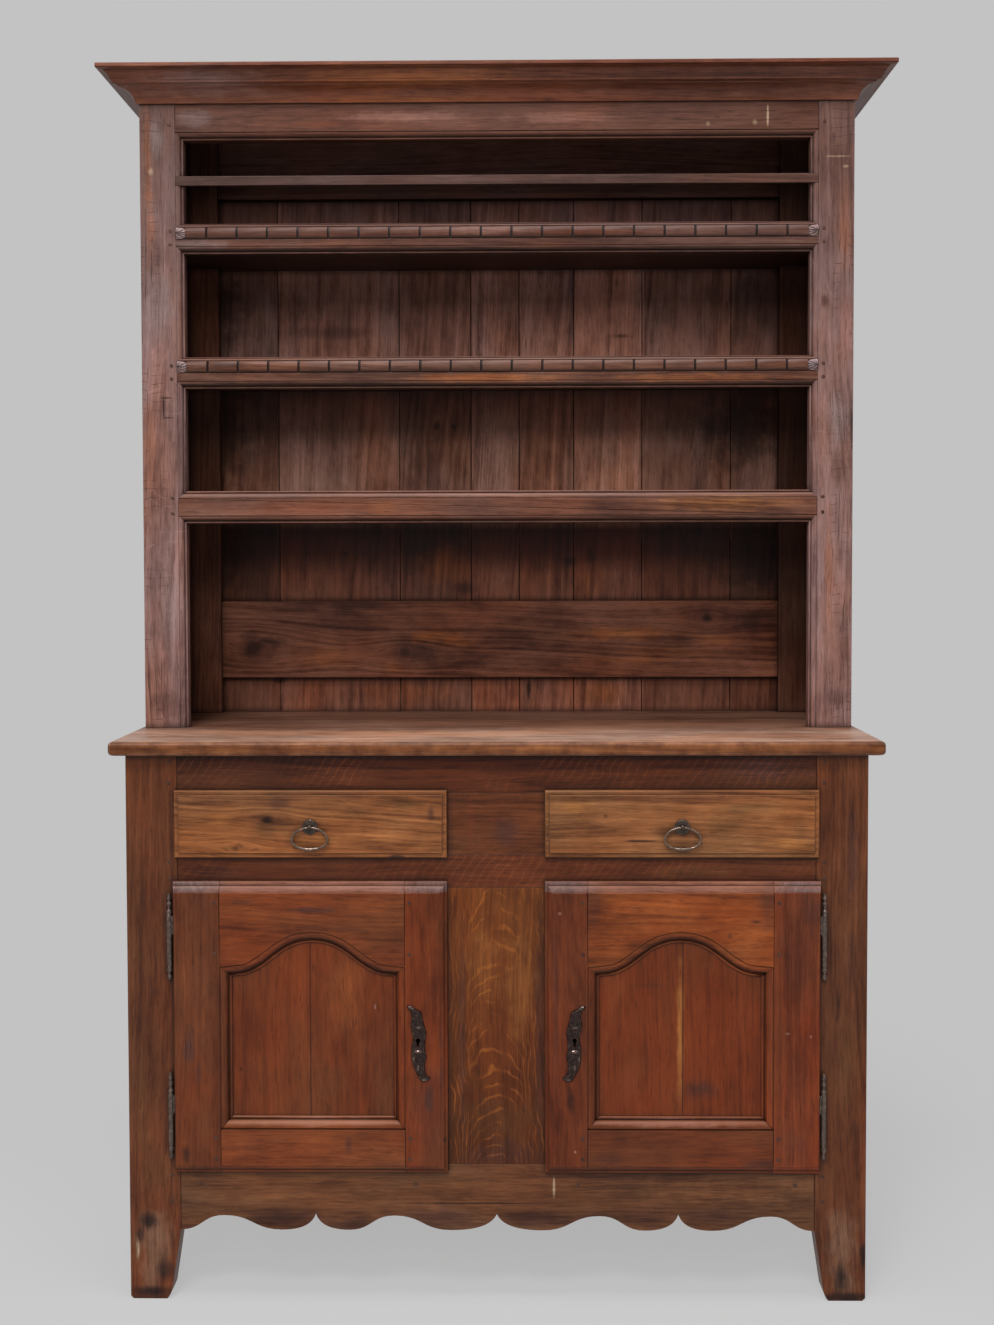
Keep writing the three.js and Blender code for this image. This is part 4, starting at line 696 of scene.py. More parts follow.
def grain_fields(graph, look, point, grain, seed, marks):
    """Fields of the wood with X along its grain: growth rings round a pith, streaks, fibres and more."""
    shift = (seed * 1.37 % 5.0, seed * 2.11 % 3.0, seed * 0.73 % 4.0)
    board = graph.mapped(parted(graph, point, grain, marks), rotation=GRAIN_TURNS[grain], location=shift)
    if "boards" in look.extras:
        board = graph.vector("ADD", board, graph.scaled(board_steps(graph, point), (3.0, 5.0, 7.0)))
    slow = graph.vector("SUBTRACT", graph.stretched(board, (1.1, 4.0, 4.0), output=1), HALF)
    quick = graph.vector("SUBTRACT", graph.stretched(board, (7.0, 42.0, 42.0), output=1), HALF)
    slow, quick = graph.scaled(slow, (0.0, 0.07, 0.07)), graph.scaled(quick, (0.0, 0.006, 0.006))
    warped = graph.vector("ADD", board, graph.vector("ADD", slow, quick))
    heart = (0.0, shift[1] + look.pith[0], shift[2] + look.pith[1])
    across = graph.scaled(graph.vector("SUBTRACT", warped, heart), (0, 1, 1))
    reach = graph.total((graph.vector("LENGTH", across), 1.0), (graph.split(warped)[0], look.taper))
    pores = graph.stretched(warped, (34.0, 430.0, 430.0), 1.0, 0.5, (0.4, 1.9, 0.8))
    return SimpleNamespace(
        rings=graph.noise_line(graph.times(reach, 1.0 / look.spacing), 3.0, 0.65),
        streaks=graph.stretched(warped, (1.6, 48.0, 48.0), 4.0, 0.62),
        strands=graph.stretched(warped, (6.0, 190.0, 190.0), 3.0, 0.7, (1.1, 0.6, 2.2)),
        fibres=graph.stretched(board, (26.0, 620.0, 620.0), 2.0, 0.6),
        pores=graph.span(pores, 0.60, 0.72, 0.0, 1.0, smooth=True),
        blotches=graph.stretched(board, (3.6, 8.5, 8.5), 4.0, 0.6),
        mottle=graph.stretched(board, (17.0, 38.0, 38.0), 4.0, 0.65, (0.9, 2.3, 1.1)),
        hues=graph.stretched(board, (2.7, 7.0, 7.0), 3.0, 0.6, (1.7, 0.3, 2.9)),
    )


def base_tone(graph, look, tone, point, hues):
    """The tone, cooler and warmer by turns, different from board to board and faded by height."""
    warm = graph.span(hues, 0.35, 0.65, 0.0, look.hue, smooth=True)
    colour = graph.mix(warm, tinted(tone, (0.92, 1.06, 1.2)), tinted(tone, (1.16, 0.95, 0.72)))
    if "boards" in look.extras:
        steps = graph.vector("ADD", graph.scaled(board_steps(graph, point), (1.5,) * 3), (0.2,) * 3)
        colour = graph.mix(1.0, colour, steps, "MULTIPLY")
    if look.fade:
        colour = add_fade(graph, colour, point, look.fade)
    if "oak" in look.extras:
        colour = add_oak_figure(graph, colour, point, tone)
    return colour


def add_marks(graph, colour, point, rough, tone, marks):
    for place, reach, kind, strength in marks:
        stain = STAINS.get(kind) or tinted(tone, LIGHTER)
        colour = graph.mix(mark_mask(graph, point, rough, place, reach, strength), colour, stain)
    return colour


def add_grain(graph, look, colour, tone, fields):
    """Darker and lighter with the wood's own fields, and darkest in its pores."""
    lightness = graph.total(*((graph.minus(field, 0.5), weight) for field, weight in (
        (fields.rings, 2.6 * look.figure),
        (fields.streaks, 2.2 * look.streak),
        (fields.strands, look.strand),
        (fields.fibres, look.fibre),
        (fields.blotches, 2.2 * look.blotch),
        (fields.mottle, 1.5 * look.blotch),
    )))
    shades = graph.ramp(graph.math("ADD", lightness, 0.5, clamp=True), GRAIN_SHADES)
    colour = graph.mix(1.0, colour, graph.scaled(shades, DOUBLE), "MULTIPLY")
    return graph.mix(graph.times(fields.pores, 0.4), colour, tinted(tone, (0.22, 0.2, 0.22)))


def shade_by_slope(graph, look, colour, tone):
    """Painted shade on mouldings that face down, and painted light on those that face up, as light from above
    falls on them.
    """
    slope = graph.normal()[2]
    # Painted shade on faces that look down, then painted light on faces that look up
    dark = graph.span(slope, -0.75, -0.12, 0.62 * look.slope, 0.0, smooth=True)
    colour = graph.mix(dark, colour, tinted(tone, (0.14, 0.12, 0.13)))
    light = graph.span(slope, 0.2, 0.75, 0.0, 0.32 * look.dust, smooth=True)
    return graph.mix(light, colour, tinted(tone, (1.9, 2.5, 3.3)))


def add_damage(graph, look, colour, point, tone):
    """Scratches, checks and worm holes, and the dark lines where pieces meet."""
    if look.scuffs:
        colour = add_scuffs(graph, colour, point, tone, look.scuffs)
    if "cracks" in look.extras:
        colour = add_cracks(graph, colour, point)
    if look.holes:
        colour = add_holes(graph, colour, point, tone, look.holes)
    x = graph.split(point)[0]
    colour = add_seams(graph, colour, graph.size(x), look.seams)
    if "boards" in look.extras:
        colour = add_seams(graph, colour, x, BOARD_JOINTS)
    return colour


def add_wear_and_painted_light(graph, look, colour, rough, tone):
    """Arrises lighter in patches, partly wear and partly painted highlight, and hollows darkened, partly dirt
    and partly painted shade.
    """
    patchy = graph.span(rough, 0.4, 0.62, 0.15, 1.0)
    # Lighter arrises: wear, and in part painted highlight
    mask = graph.times(graph.edge(0.0035, 0.99, 0.82), graph.times(patchy, look.wear), clamp=True)
    colour = graph.mix(mask, colour, tinted(tone, (2.0, 2.4, 2.9)))
    # Darker in hollows narrower than 13 mm: painted shade with some dirt
    return graph.mix(graph.hollow(0.013, 0.42, 0.96, look.grime), colour, DIRT_AND_SHADE)


def add_scuffs(graph, colour, point, tone, amount):
    """Thin pale scratches in a few places."""
    bend = graph.stretched(point, (7.0, 1.0, 5.0), 0.0, 0.5, (3.1, 0.0, 1.4))
    broken = graph.stretched(point, (34.0, 1.0, 27.0))
    zone = graph.stretched(point, (5.0, 1.0, 4.0), location=(0.2, 0.0, 4.4))
    line = graph.lines(graph.times(bend, 22.0), 0.09)
    line = graph.times(line, graph.span(broken, 0.52, 0.60))
    line = graph.times(line, graph.span(zone, 0.50, 0.60, 0.0, amount))
    return graph.mix(line, colour, tinted(tone, (2.6, 3.0, 3.2)))


def add_cracks(graph, colour, point):
    """Fine dark checks along and across the grain, at the outer edges of the rack's stiles."""
    x, _, z = graph.split(point)
    bend = graph.stretched(point, (30.0, 1.0, 12.0))
    zone = graph.stretched(point, (14.0, 1.0, 9.0))
    short = graph.stretched(point, (60.0, 1.0, 9.0), 1.0, 0.5, (0.6, 0.0, 2.2))
    along = graph.lines(graph.total((x, 95.0), (bend, 1.6)), 0.10)
    across = graph.lines(graph.total((z, 62.0), (bend, 1.4)), 0.05)
    across = graph.times(across, graph.span(short, 0.50, 0.54))
    checks = graph.most(graph.times(along, graph.span(short, 0.50, 0.44)), across)
    outer = graph.span(graph.size(x), 0.588, 0.616, 0.0, 1.0)
    mask = graph.times(graph.times(checks, outer), graph.span(zone, 0.46, 0.53, 0.0, 0.75))
    return graph.mix(mask, colour, (0.022, 0.010, 0.008))


def add_fade(graph, colour, point, stops):
    """Lighter or darker by height, on all but the faces that look back."""
    low, high = stops[0][0], stops[-1][0]
    place = graph.span(graph.split(point)[2], low, high)
    shade = graph.ramp(place, [
        ((z - low) / (high - low), tuple(np.multiply(factor, HALF)))
        for z, factor in stops
    ])
    front = graph.math("LESS_THAN", graph.normal()[1], 0.5)
    return graph.mix(front, colour, graph.scaled(shade, DOUBLE), "MULTIPLY")


def board_steps(graph, point):
    """A value from 0 to 1 that is constant over each board of the rack's back."""
    place = graph.span(graph.split(point)[0], -BACK_HALF_WIDTH, BACK_HALF_WIDTH)
    starts = (-BACK_HALF_WIDTH, *BOARD_JOINTS)
    return graph.ramp(place, [
        ((start + BACK_HALF_WIDTH) / (2 * BACK_HALF_WIDTH), (tone,) * 3)
        for start, tone in zip(starts, BOARD_TONES)
    ], steps=True)


def add_seams(graph, colour, away, places):
    """Thin dark joint lines where the distance away equals a place."""
    for place in places:
        near = graph.size(graph.minus(away, place))
        colour = graph.mix(graph.span(near, 0.0004, 0.0016, 0.75, 0.0), colour, JOINT_SHADE)
    return colour


def shade_beads(graph, colour, point):
    """Painted shade, with some dirt, between and along the short beads of a shelf rail, darker the deeper the
    wood lies.
    """
    _, y, z = graph.split(point)
    # Painted shade, darker the deeper the wood lies behind the bead crowns
    depth = graph.span(y, BEAD_CROWN + 0.0018, BEAD_BED - 0.0002, 0.0, 0.92, smooth=True)
    at_bead = graph.math("LESS_THAN", y, BEAD_BED + 0.0004)
    first, second = (
        graph.times(graph.math("GREATER_THAN", z, low), graph.math("LESS_THAN", z, high))
        for low, high in BEAD_SPANS
    )
    mask = graph.times(graph.times(depth, at_bead), graph.most(first, second))
    return graph.mix(mask, colour, DIRT_AND_SHADE)


def add_oak_figure(graph, colour, point, tone):
    """Ray figure of quartered oak: wavy upright ribbons at the edges, arches in the middle."""
    x, _, z = graph.split(point)
    bend = graph.stretched(point, (10.0, 1.0, 6.0), 3.0, 0.55)
    broken = graph.span(graph.stretched(point, (30.0, 1.0, 14.0), 3.0, 0.5), 0.44, 0.57, 0.0, 1.0)
    side = graph.size(x)
    arch = graph.total((graph.math("POWER", side, 2.0), 700.0), (z, 38.0), (bend, 5.5))
    upright = graph.total((side, 115.0), (bend, 9.0), (z, 2.0))
    at_edge = graph.span(side, 0.030, 0.055, 0.0, 1.0, smooth=True)
    ribbons = graph.total(
        (graph.lines(arch, 0.15), graph.minus(1.0, at_edge)),
        (graph.lines(upright, 0.17), at_edge),
    )
    mask = graph.times(graph.times(ribbons, broken), 0.62)
    return graph.mix(mask, colour, tinted(tone, (2.2, 2.6, 2.3)))


def add_rays(graph, colour, point, tone):
    """Short slanting ray flecks near the middle of a rail."""
    x, _, z = graph.split(point)
    bend = graph.stretched(point, (9.0, 1.0, 20.0))
    zone = graph.stretched(point, (3.4, 1.0, 3.0))
    field = graph.total((x, 62.0), (z, -44.0), (bend, 2.6))
    mask = graph.times(graph.lines(field, 0.17), graph.span(zone, 0.46, 0.6, 0.0, 0.42))
    return graph.mix(mask, colour, tinted(tone, (1.9, 2.1, 2.0)))


def tone_worktop(graph, colour, point, rough):
    """Orange-brown front and end edges, and a surface darker under the rack: partly darker wood and partly
    painted shadow of the rack.
    """
    x, y, _ = graph.split(point)
    ragged = graph.total((rough, 0.05))
    # Painted shadow of the rack, with some darker wood, on the worktop behind its front
    rear = graph.span(graph.math("ADD", y, ragged), -0.14, -0.02, 0.0, 0.8, smooth=True)
    colour = graph.mix(rear, colour, (0.105, 0.042, 0.024))
    front = graph.span(y, *WORKTOP_EDGE, 1.0, 0.0, smooth=True)
    ends = graph.span(graph.size(x), *WORKTOP_END, 0.0, 1.0, smooth=True)
    mottled = graph.mix(graph.span(rough, 0.35, 0.65), (0.090, 0.027, 0.0085), (0.165, 0.055, 0.018))
    return graph.mix(graph.most(front, ends), colour, mottled)


def add_edge_sheen_and_wear(graph, colour, point, rough):
    """The doors' upper edges, worn bare and with painted sheen: pinkish in the middle and greyer at the ends.
    """
    x, _, z = graph.split(point)
    middle = graph.size(graph.minus(graph.size(x), DOOR_MIDDLE))
    bare = graph.mix(graph.span(middle, 0.13, 0.19), (0.20, 0.088, 0.062), (0.160, 0.100, 0.092))
    ragged = graph.total((rough, 0.004), (z, 1.0))
    # Painted sheen over worn wood along the doors' upper edges
    mask = graph.span(ragged, *DOOR_TOP_EDGE, 0.0, 0.75, smooth=True)
    return graph.mix(mask, colour, bare)


def add_holes(graph, colour, point, tone, amount):
    """Small dark worm holes and dents, thinly scattered: the share of cells that hold one is the amount."""
    cells = graph.add("TexVoronoi", feature="F1")
    graph.put(cells.inputs["Vector"], point)
    cells.inputs["Scale"].default_value = 55.0
    near = graph.span(cells.outputs["Distance"], 0.045, 0.085, 1.0, 0.0)
    parts = graph.add("SeparateColor")
    graph.put(parts.inputs[0], cells.outputs["Color"])
    chosen = graph.math("LESS_THAN", parts.outputs[0], amount)
    mask = graph.times(graph.times(near, chosen), 0.85)
    return graph.mix(mask, colour, tinted(tone, (0.12, 0.1, 0.12)))


def iron(name, tone, rubbed, metallic=0.9, dull=0.26, glints=()):
    """Old iron, mottled and pitted, worn bright on its arrises with some painted highlight, and with painted
    highlights at the glints: places and reaches.
    """
    graph = Graph(name)
    point = graph.add("TexCoord").outputs["Object"]
    mottle = graph.noise(point, 160.0, 4.0, 0.6)
    pits = graph.noise(point, 900.0, 2.0, 0.5)
    colour = graph.ramp(mottle, (
        (0.25, tinted(tone, (0.45, 0.45, 0.45))),
        (0.5, tone),
        (0.72, tinted(tone, (1.9, 1.75, 1.6))),
    ))
    colour = graph.mix(graph.hollow(0.003, 0.4, 0.95, 0.85), colour, (0.004, 0.003, 0.003))
    # Lighter on worn arrises, partly as painted highlight, and at the glints below, which are painted
    # highlights
    worn = graph.times(graph.edge(0.0009, 0.985, 0.75), graph.span(mottle, 0.42, 0.58, 0.2, 0.9))
    for place, reach in glints:
        mask = mark_mask(graph, point, mottle, place, reach, 0.8)
        mask = graph.times(mask, graph.span(pits, 0.44, 0.56, 0.15, 1.0))
        worn = graph.most(worn, mask)
    graph.put(graph.shader.inputs["Base Color"], graph.mix(worn, colour, rubbed))
    graph.shader.inputs["Metallic"].default_value = metallic
    graph.shader.inputs["Specular IOR Level"].default_value = 0.5
    graph.put(graph.shader.inputs["Roughness"], graph.span(mottle, 0.3, 0.7, dull + 0.06, dull - 0.06))
    graph.bump(graph.total((mottle, 0.6), (pits, 0.4)), 0.35, 0.0005)
    return graph.material


# Worn copies: how far arrises are rounded, the shortest edge and the smallest face that are, and the
# angles from which an edge is rounded, stays sharp in shading, and counts as flat
BEVEL = 0.001
SHORTEST_EDGE = 0.006
LEAST_FACE = 2e-5
BEVEL_FROM = math.radians(40)
SHARP_FROM = 32
FLAT_WITHIN = math.radians(0.3)
WELD_DISTANCE = 2e-6


def welded(name, whole_faces=True):
    """The node's mesh with its seams welded and, on request, its flat faces whole."""
    solid = bmesh.new()
    solid.from_mesh(nodes[name].data)
    bmesh.ops.remove_doubles(solid, verts=solid.verts, dist=WELD_DISTANCE)
    if whole_faces:
        bmesh.ops.dissolve_limit(
            solid, angle_limit=FLAT_WITHIN, use_dissolve_boundaries=False,
            verts=solid.verts, edges=solid.edges, delimit=set(),
        )
    return solid


def is_arris(edge):
    """Whether the edge is long, convex and sharp enough to be rounded."""
    if len(edge.link_faces) != 2 or not edge.is_convex or edge.calc_length() < SHORTEST_EDGE:
        return False
    if edge.calc_face_angle(0) < BEVEL_FROM:
        return False
    return min(face.calc_area() for face in edge.link_faces) > LEAST_FACE


def finish_mesh(solid, name, material, angle=SHARP_FROM):
    """A smooth-shaded object with this mesh, sharp at edges from the angle on, in degrees."""
    mesh = bpy.data.meshes.new(name)
    solid.to_mesh(mesh)
    solid.free()
    for polygon in mesh.polygons:
        polygon.use_smooth = True
    mesh.set_sharp_from_angle(angle=math.radians(angle))
    mesh.materials.append(material)
    return linked(name, mesh)


def stand_for(piece, name):
    """The piece rides where the node rides and is shown in its place."""
    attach(piece, nodes[name]["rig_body"])
    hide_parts(name)


def add_detail(solid, name, material, angle, body):
    """A piece of its own, with its faces turned outwards, that rides a body."""
    bmesh.ops.recalc_face_normals(solid, faces=solid.faces)
    piece = finish_mesh(solid, name, material, angle)
    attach(piece, body)
    return piece


def dressed(name, material, bevel=BEVEL):
    """A copy of a CAD node with softened arrises and even shading, which stands for the node."""
    solid = welded(name, whole_faces=bevel > 0)
    edges = [edge for edge in solid.edges if is_arris(edge)] if bevel else ()
    if edges:
        bmesh.ops.bevel(
            solid, geom=edges, offset=bevel, offset_type="OFFSET", segments=2, profile=0.5,
            affect="EDGES", clamp_overlap=False,
        )
    piece = finish_mesh(solid, f"worn_{name}", material)
    piece.modifiers.new("even_shading", "WEIGHTED_NORMAL").keep_sharp = True
    stand_for(piece, name)


def give(name, slot, tone, grain, seed, **changes):
    """A worn copy of a wooden node, with its own wood. Beaded rails keep their crisp notches."""
    tone = tinted(tone, PART_TINTS.get(name, (1.0, 1.0, 1.0)))
    dressed(name, wood(name, tone, grain, seed, **changes), 0.0 if name in BEADED else BEVEL)


def dress_base_end(index, side):
    give(f"front_post_{side}", "base_wood", BASE, "z", 3 + index, holes=0.06, fade=POST_FADES[side])
    give(f"base_side_{side}", "base_wood", BASE, "z", 5 + index, holes=0.05)
    give(f"drawer_front_{side}", "drawer_wood", DRAWER, "x", 7 + index, figure=0.4, streak=0.35, blotch=0.5)
    give(f"drawer_box_{side}", "pine", INSIDE, "y", 9 + index, wear=0.2)


def dress_door(index, side):
    smooth = {"strand": 0.6, "fibre": 0.45, "hue": 0.9}
    rail = {**smooth, "streak": 0.2, "slope": 1.4, "seams": DOOR_RAIL_SEAMS}
    # The doors' stiles and top rails get painted sheen over worn wood along the doors' upper edges
    give(f"door_hinge_stile_{side}", "door_wood", DOOR, "z", 11 + index, **smooth, extras=("rubbed",))
    give(f"door_lock_stile_{side}", "door_wood", DOOR, "z", 13 + index, **smooth, extras=("rubbed",))
    give(f"door_top_rail_{side}", "door_wood", DOOR_RAIL, "x", 15 + index, **rail, wear=0.5, blotch=0.55,
         extras=("rubbed",))
    # The bottom rails get strong painted light on their upward mouldings
    give(f"door_bottom_rail_{side}", "door_wood", DOOR_FOOT, "x", 17 + index, **rail, dust=2.2)
    give(f"door_panel_{side}", "door_wood", PANEL, "z", 19 + index, wear=0.2, streak=0.12, strand=0.45,
         fibre=0.4, blotch=0.34, hue=1.0, seams=PANEL_SEAM)


def dress_rack_end(index, side):
    give(f"rack_stile_{side}", "rack_wood", RACK, "z", 21 + index, wear=0.5, holes=0.05, blotch=0.5,
         strand=0.7, fibre=0.5, scuffs=0.2, fade=STILE_FADE, extras=("cracks",))
    give(f"rack_side_{side}", "rack_wood", RACK_SIDE, "z", 23 + index)
    give(f"cornice_side_{side}", "rack_wood", CORNICE, "y", 25 + index, **CORNICE_LOOK)


def dress_base():
    give("frieze_rail", "base_wood", FRIEZE, "x", 31, fade=FRIEZE_FADE, seams=POST_SEAM, extras=("rays",))
    give("mid_rail", "base_wood", MID_RAIL, "x", 32, seams=POST_SEAM, extras=("rays",))
    give("drawer_divider", "base_wood", DIVIDER, "x", 33, seams=DIVIDER_SEAM)
    give("centre_stile", "centre_oak", OAK, "z", 34, figure=0.2, fade=OAK_FADE, seams=CENTRE_SEAM,
         extras=("oak",))
    give("apron", "base_wood", APRON, "x", 35, holes=0.1, seams=POST_SEAM)
    give("base_back", "pine", INSIDE, "z", 36)
    give("base_floor", "pine", INSIDE, "x", 37)
    give("centre_runner", "pine", INSIDE, "y", 38)
    give("worktop", "worktop_wood", TOP, "x", 39, wear=0.8, figure=0.3, blotch=0.5, slope=0.0, dust=0.0,
         extras=("top",))


def dress_rack():
    give("rack_top_rail", "rack_wood", TOP_RAIL, "x", 40, seams=RACK_SEAM)
    for index, level in enumerate(("upper", "middle", "lower")):
        rail = f"shelf_rail_{level}"
        give(rail, "rack_wood", RAIL, "x", 41 + index, wear=0.6, figure=0.3, slope=1.4, dust=1.5,
             extras=("beads",) if rail in BEADED else ())
        give(f"shelf_{level}", "shade_wood", SHADE, "x", 44 + index, slope=0.0, dust=0.0)
    give("plate_bar", "rack_wood", BAR, "x", 47)
    give("rack_back", "pine", PINE, "z", 48, figure=0.4, streak=0.1, strand=0.55, fibre=0.4, blotch=0.6,
         spacing=0.011, pith=(0.05, 0.03), taper=0.05, fade=BACK_FADE, extras=("boards",))
    give("back_cross_rail", "shade_wood", CROSS, "x", 49, figure=0.5, strand=0.6, blotch=0.8,
         spacing=0.009, pith=(0.06, 0.04), taper=0.04)
    give("back_top_rail", "shade_wood", SHADE, "x", 50)
    give("rack_roof", "pine", SHADE, "x", 51)
    give("cornice_front", "rack_wood", CORNICE, "x", 52, **CORNICE_LOOK)


def dress_woodwork():
    """A worn copy with its own wood for every wooden node."""
    for index, side in enumerate(SIDES):
        dress_base_end(index, side)
        dress_door(index, side)
        dress_rack_end(index, side)
    dress_base()
    dress_rack()


def perimeter(line):
    return np.linalg.norm(line - np.roll(line, 1, 0), axis=1).sum()


def outlines_of_front(name):
    """The closed outlines, in X and Z, of the node's faces that look forward, the longest first."""
    solid = welded(name)
    front = [face for face in solid.faces if face.normal.y < -0.99]
    rims = {}
    for face in front:
        for loop in face.loops:
            if not any(other in front for other in loop.edge.link_faces if other is not face):
                start, end = loop.vert, loop.link_loop_next.vert
                rims[start.index] = (end.index, (start.co.x, start.co.z))
    found = []
    while rims:
        here, line = next(iter(rims)), []
        while here in rims:
            here, place = rims.pop(here)
            line.append(place)
        found.append(np.array(line))
    solid.free()
    return sorted(found, key=perimeter, reverse=True)


def spaced(line, pitch):
    """The closed line with points about a pitch apart."""
    points = []
    for start, end in zip(line, np.roll(line, -1, 0)):
        count = max(1, int(round(np.linalg.norm(end - start) / pitch)))
        points.extend(start + (end - start) * step / count for step in range(count))
    return np.array(points)


def inside(points, line):
    """Whether each point lies inside the closed line."""
    result = np.zeros(len(points), bool)
    for (x0, z0), (x1, z1) in zip(line, np.roll(line, -1, 0)):
        crosses = (z0 > points[:, 1]) != (z1 > points[:, 1])
        with np.errstate(divide="ignore", invalid="ignore"):
            at = x0 + (points[:, 1] - z0) * (x1 - x0) / (z1 - z0)
        result ^= crosses & (points[:, 0] < at)
    return result


def distance(points, line):
    """Each point's distance to the closed line."""
    best = np.full(len(points), np.inf)
    for start, end in zip(line, np.roll(line, -1, 0)):
        along = end - start
        share = np.clip(((points - start) @ along) / max(along @ along, 1e-18), 0, 1)
        best = np.minimum(best, np.linalg.norm(points - (start + share[:, None] * along), axis=1))
    return best


# Keyhole plates: how far each part of the relief stands out, the bar's drop below the keyhole and half
# its length and height, and the spacing of the mesh along the rims and over the metal
BODY_RISE = 0.0007
RIM_RISE = 0.0006
RIB_RISE = 0.0016
BOSS_RISE = 0.0006
BAR_RISE = 0.0011
RIBS = 9
BOSS_REACH = (0.009, 0.014)
BAR_DROP = 0.0075
BAR_HALF_LENGTH = 0.0065
BAR_HALF_HEIGHT = 0.0017
RIM_PITCH = 0.0012
GRID_COLUMN = 0.0011
GRID_ROW = 0.00095
GRID_STAGGER = 0.0005
GRID_ROOM = 0.0006


def share_across(points, rim):
    """How far each point lies from the plate's middle towards its edge, from -1 to 1."""
    centre = np.empty(len(points))
    half = np.empty(len(points))
    for index, z in enumerate(points[:, 1]):
        near = rim[np.abs(rim[:, 1] - z) < 0.004]
        centre[index] = (near[:, 0].min() + near[:, 0].max()) / 2
        half[index] = max((near[:, 0].max() - near[:, 0].min()) / 2, 0.002)
    return np.clip((points[:, 0] - centre) / half, -1, 1)


def plate_relief(points, rim, keyhole):
    """How far the keyhole plate stands out: a rolled rim, leaf ribs, a boss and a bar under the keyhole."""
    edge = np.minimum(distance(points, rim), distance(points, keyhole))
    low, high = rim[:, 1].min(), rim[:, 1].max()
    rise = (points[:, 1] - low) / (high - low)
    across = share_across(points, rim)
    body = BODY_RISE * np.clip(edge / 0.0022, 0, 1) ** 0.5
    rolled = RIM_RISE * np.exp(-((edge - 0.0016) / 0.0007) ** 2)
    wave = np.abs(np.sin(math.pi * (rise * RIBS + 0.9 * np.abs(across))))
    ribs = RIB_RISE * wave * np.clip(edge / 0.002, 0, 1)
    middle = keyhole.mean(0)
    reach = np.linalg.norm((points - middle) / BOSS_REACH, axis=1)
    boss = np.clip((1.15 - reach) / 0.3, 0, 1)
    relief = (body + rolled + ribs) * (1 - boss) + (body + BOSS_RISE) * boss
    bar_z = keyhole[:, 1].min() - BAR_DROP
    bar = np.clip(1.3 - np.abs(points[:, 1] - bar_z) / BAR_HALF_HEIGHT, 0, 1)
    bar *= np.clip((BAR_HALF_LENGTH - np.abs(points[:, 0] - middle[0])) / 0.001, 0, 1)
    return relief + BAR_RISE * bar * np.clip(edge / 0.0012, 0, 1)


def plate_iron(side, rim, keyhole):
    """Iron with painted highlights at the plate's two curled ends, at its bar and at some of its leaves."""
    top, foot = rim[rim[:, 1].argmax()], rim[rim[:, 1].argmin()]
    x, z = keyhole.mean(0)
    inward = -np.sign(x)
    glints = (
        ((top[0] + inward * 0.004, top[1] - 0.003), (0.007, 0.0035)),
        ((foot[0], foot[1] + 0.003), (0.005, 0.0030)),
        ((x, keyhole[:, 1].min() - BAR_DROP), (0.0075, 0.0028)),
        ((x + 0.001, z + 0.026), (0.005, 0.0022)),
        ((x - inward * 0.009, z + 0.014), (0.0020, 0.0050)),
        ((x - inward * 0.008, z - 0.028), (0.0022, 0.0045)),
        ((x, z - 0.043), (0.0020, 0.0055)),
    )
    return iron(f"plate_iron_{side}", (0.046, 0.030, 0.026), (0.30, 0.21, 0.18), glints=glints)


def plate_grid(low, high, rim, keyhole):
    """Staggered points over the metal, clear of its rims."""
    grid = np.array([
        (x + (GRID_STAGGER if row % 2 else 0.0), z)
        for row, z in enumerate(np.arange(low.z, high.z, GRID_ROW))
        for x in np.arange(low.x, high.x, GRID_COLUMN)
    ])
    grid = grid[inside(grid, rim) & ~inside(grid, keyhole)]
    return grid[np.minimum(distance(grid, rim), distance(grid, keyhole)) > GRID_ROOM]


def plate_faces(rim, keyhole, grid):
    """Corners in X and Z, and the triangles between them that are metal."""
    places = np.vstack([rim, keyhole, grid])
    rings = ((0, len(rim)), (len(rim), len(rim) + len(keyhole)))
    edges = [(at, at + 1 if at + 1 < end else start) for start, end in rings for at in range(start, end)]
    corners, _, faces, *_ = delaunay_2d_cdt([Vector(place) for place in places], edges, [], 0, 1e-7)
    corners = np.array([tuple(corner) for corner in corners])
    centres = np.array([corners[list(face)].mean(0) for face in faces])
    metal = inside(centres, rim) & ~inside(centres, keyhole)
    return corners, [face for face, kept in zip(faces, metal) if kept]


def skin(solid, rings, closed=True):
    """Faces between each ring of corners and the next."""
    for inner, outer in zip(rings, rings[1:]):
        count = len(inner)
        for turn in range(count if closed else count - 1):
            after = (turn + 1) % count
            solid.faces.new([inner[turn], outer[turn], outer[after], inner[after]])


def close_back(solid, back_of):
    """Closes an open front with the same faces at its back corners, and a wall along its rim."""
    rim = [edge for edge in solid.edges if len(edge.link_faces) == 1]
    for face in list(solid.faces):
        solid.faces.new([back_of[vert] for vert in reversed(face.verts)])
    for edge in rim:
        first, second = edge.verts
        solid.faces.new([first, second, back_of[second], back_of[first]])


def cast_plate(side):
    """A keyhole plate with cast relief in the outline of its node."""
    name = f"escutcheon_{side}"
    low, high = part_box(name)
    rim, keyhole = (spaced(line, RIM_PITCH) for line in outlines_of_front(name)[:2])
    corners, faces = plate_faces(rim, keyhole, plate_grid(low, high, rim, keyhole))
    relief = plate_relief(corners, rim, keyhole)
    solid = bmesh.new()
    fronts = [solid.verts.new((x, low.y - out, z)) for (x, z), out in zip(corners, relief)]
    backs = [solid.verts.new((x, high.y, z)) for x, z in corners]
    for face in faces:
        solid.faces.new([fronts[corner] for corner in face])
    close_back(solid, dict(zip(fronts, backs)))
    bmesh.ops.delete(solid, geom=[vert for vert in solid.verts if not vert.link_faces], context="VERTS")
    bmesh.ops.recalc_face_normals(solid, faces=solid.faces)
    piece = finish_mesh(solid, f"cast_plate_{side}", plate_iron(side, rim, keyhole), 50)
    stand_for(piece, name)


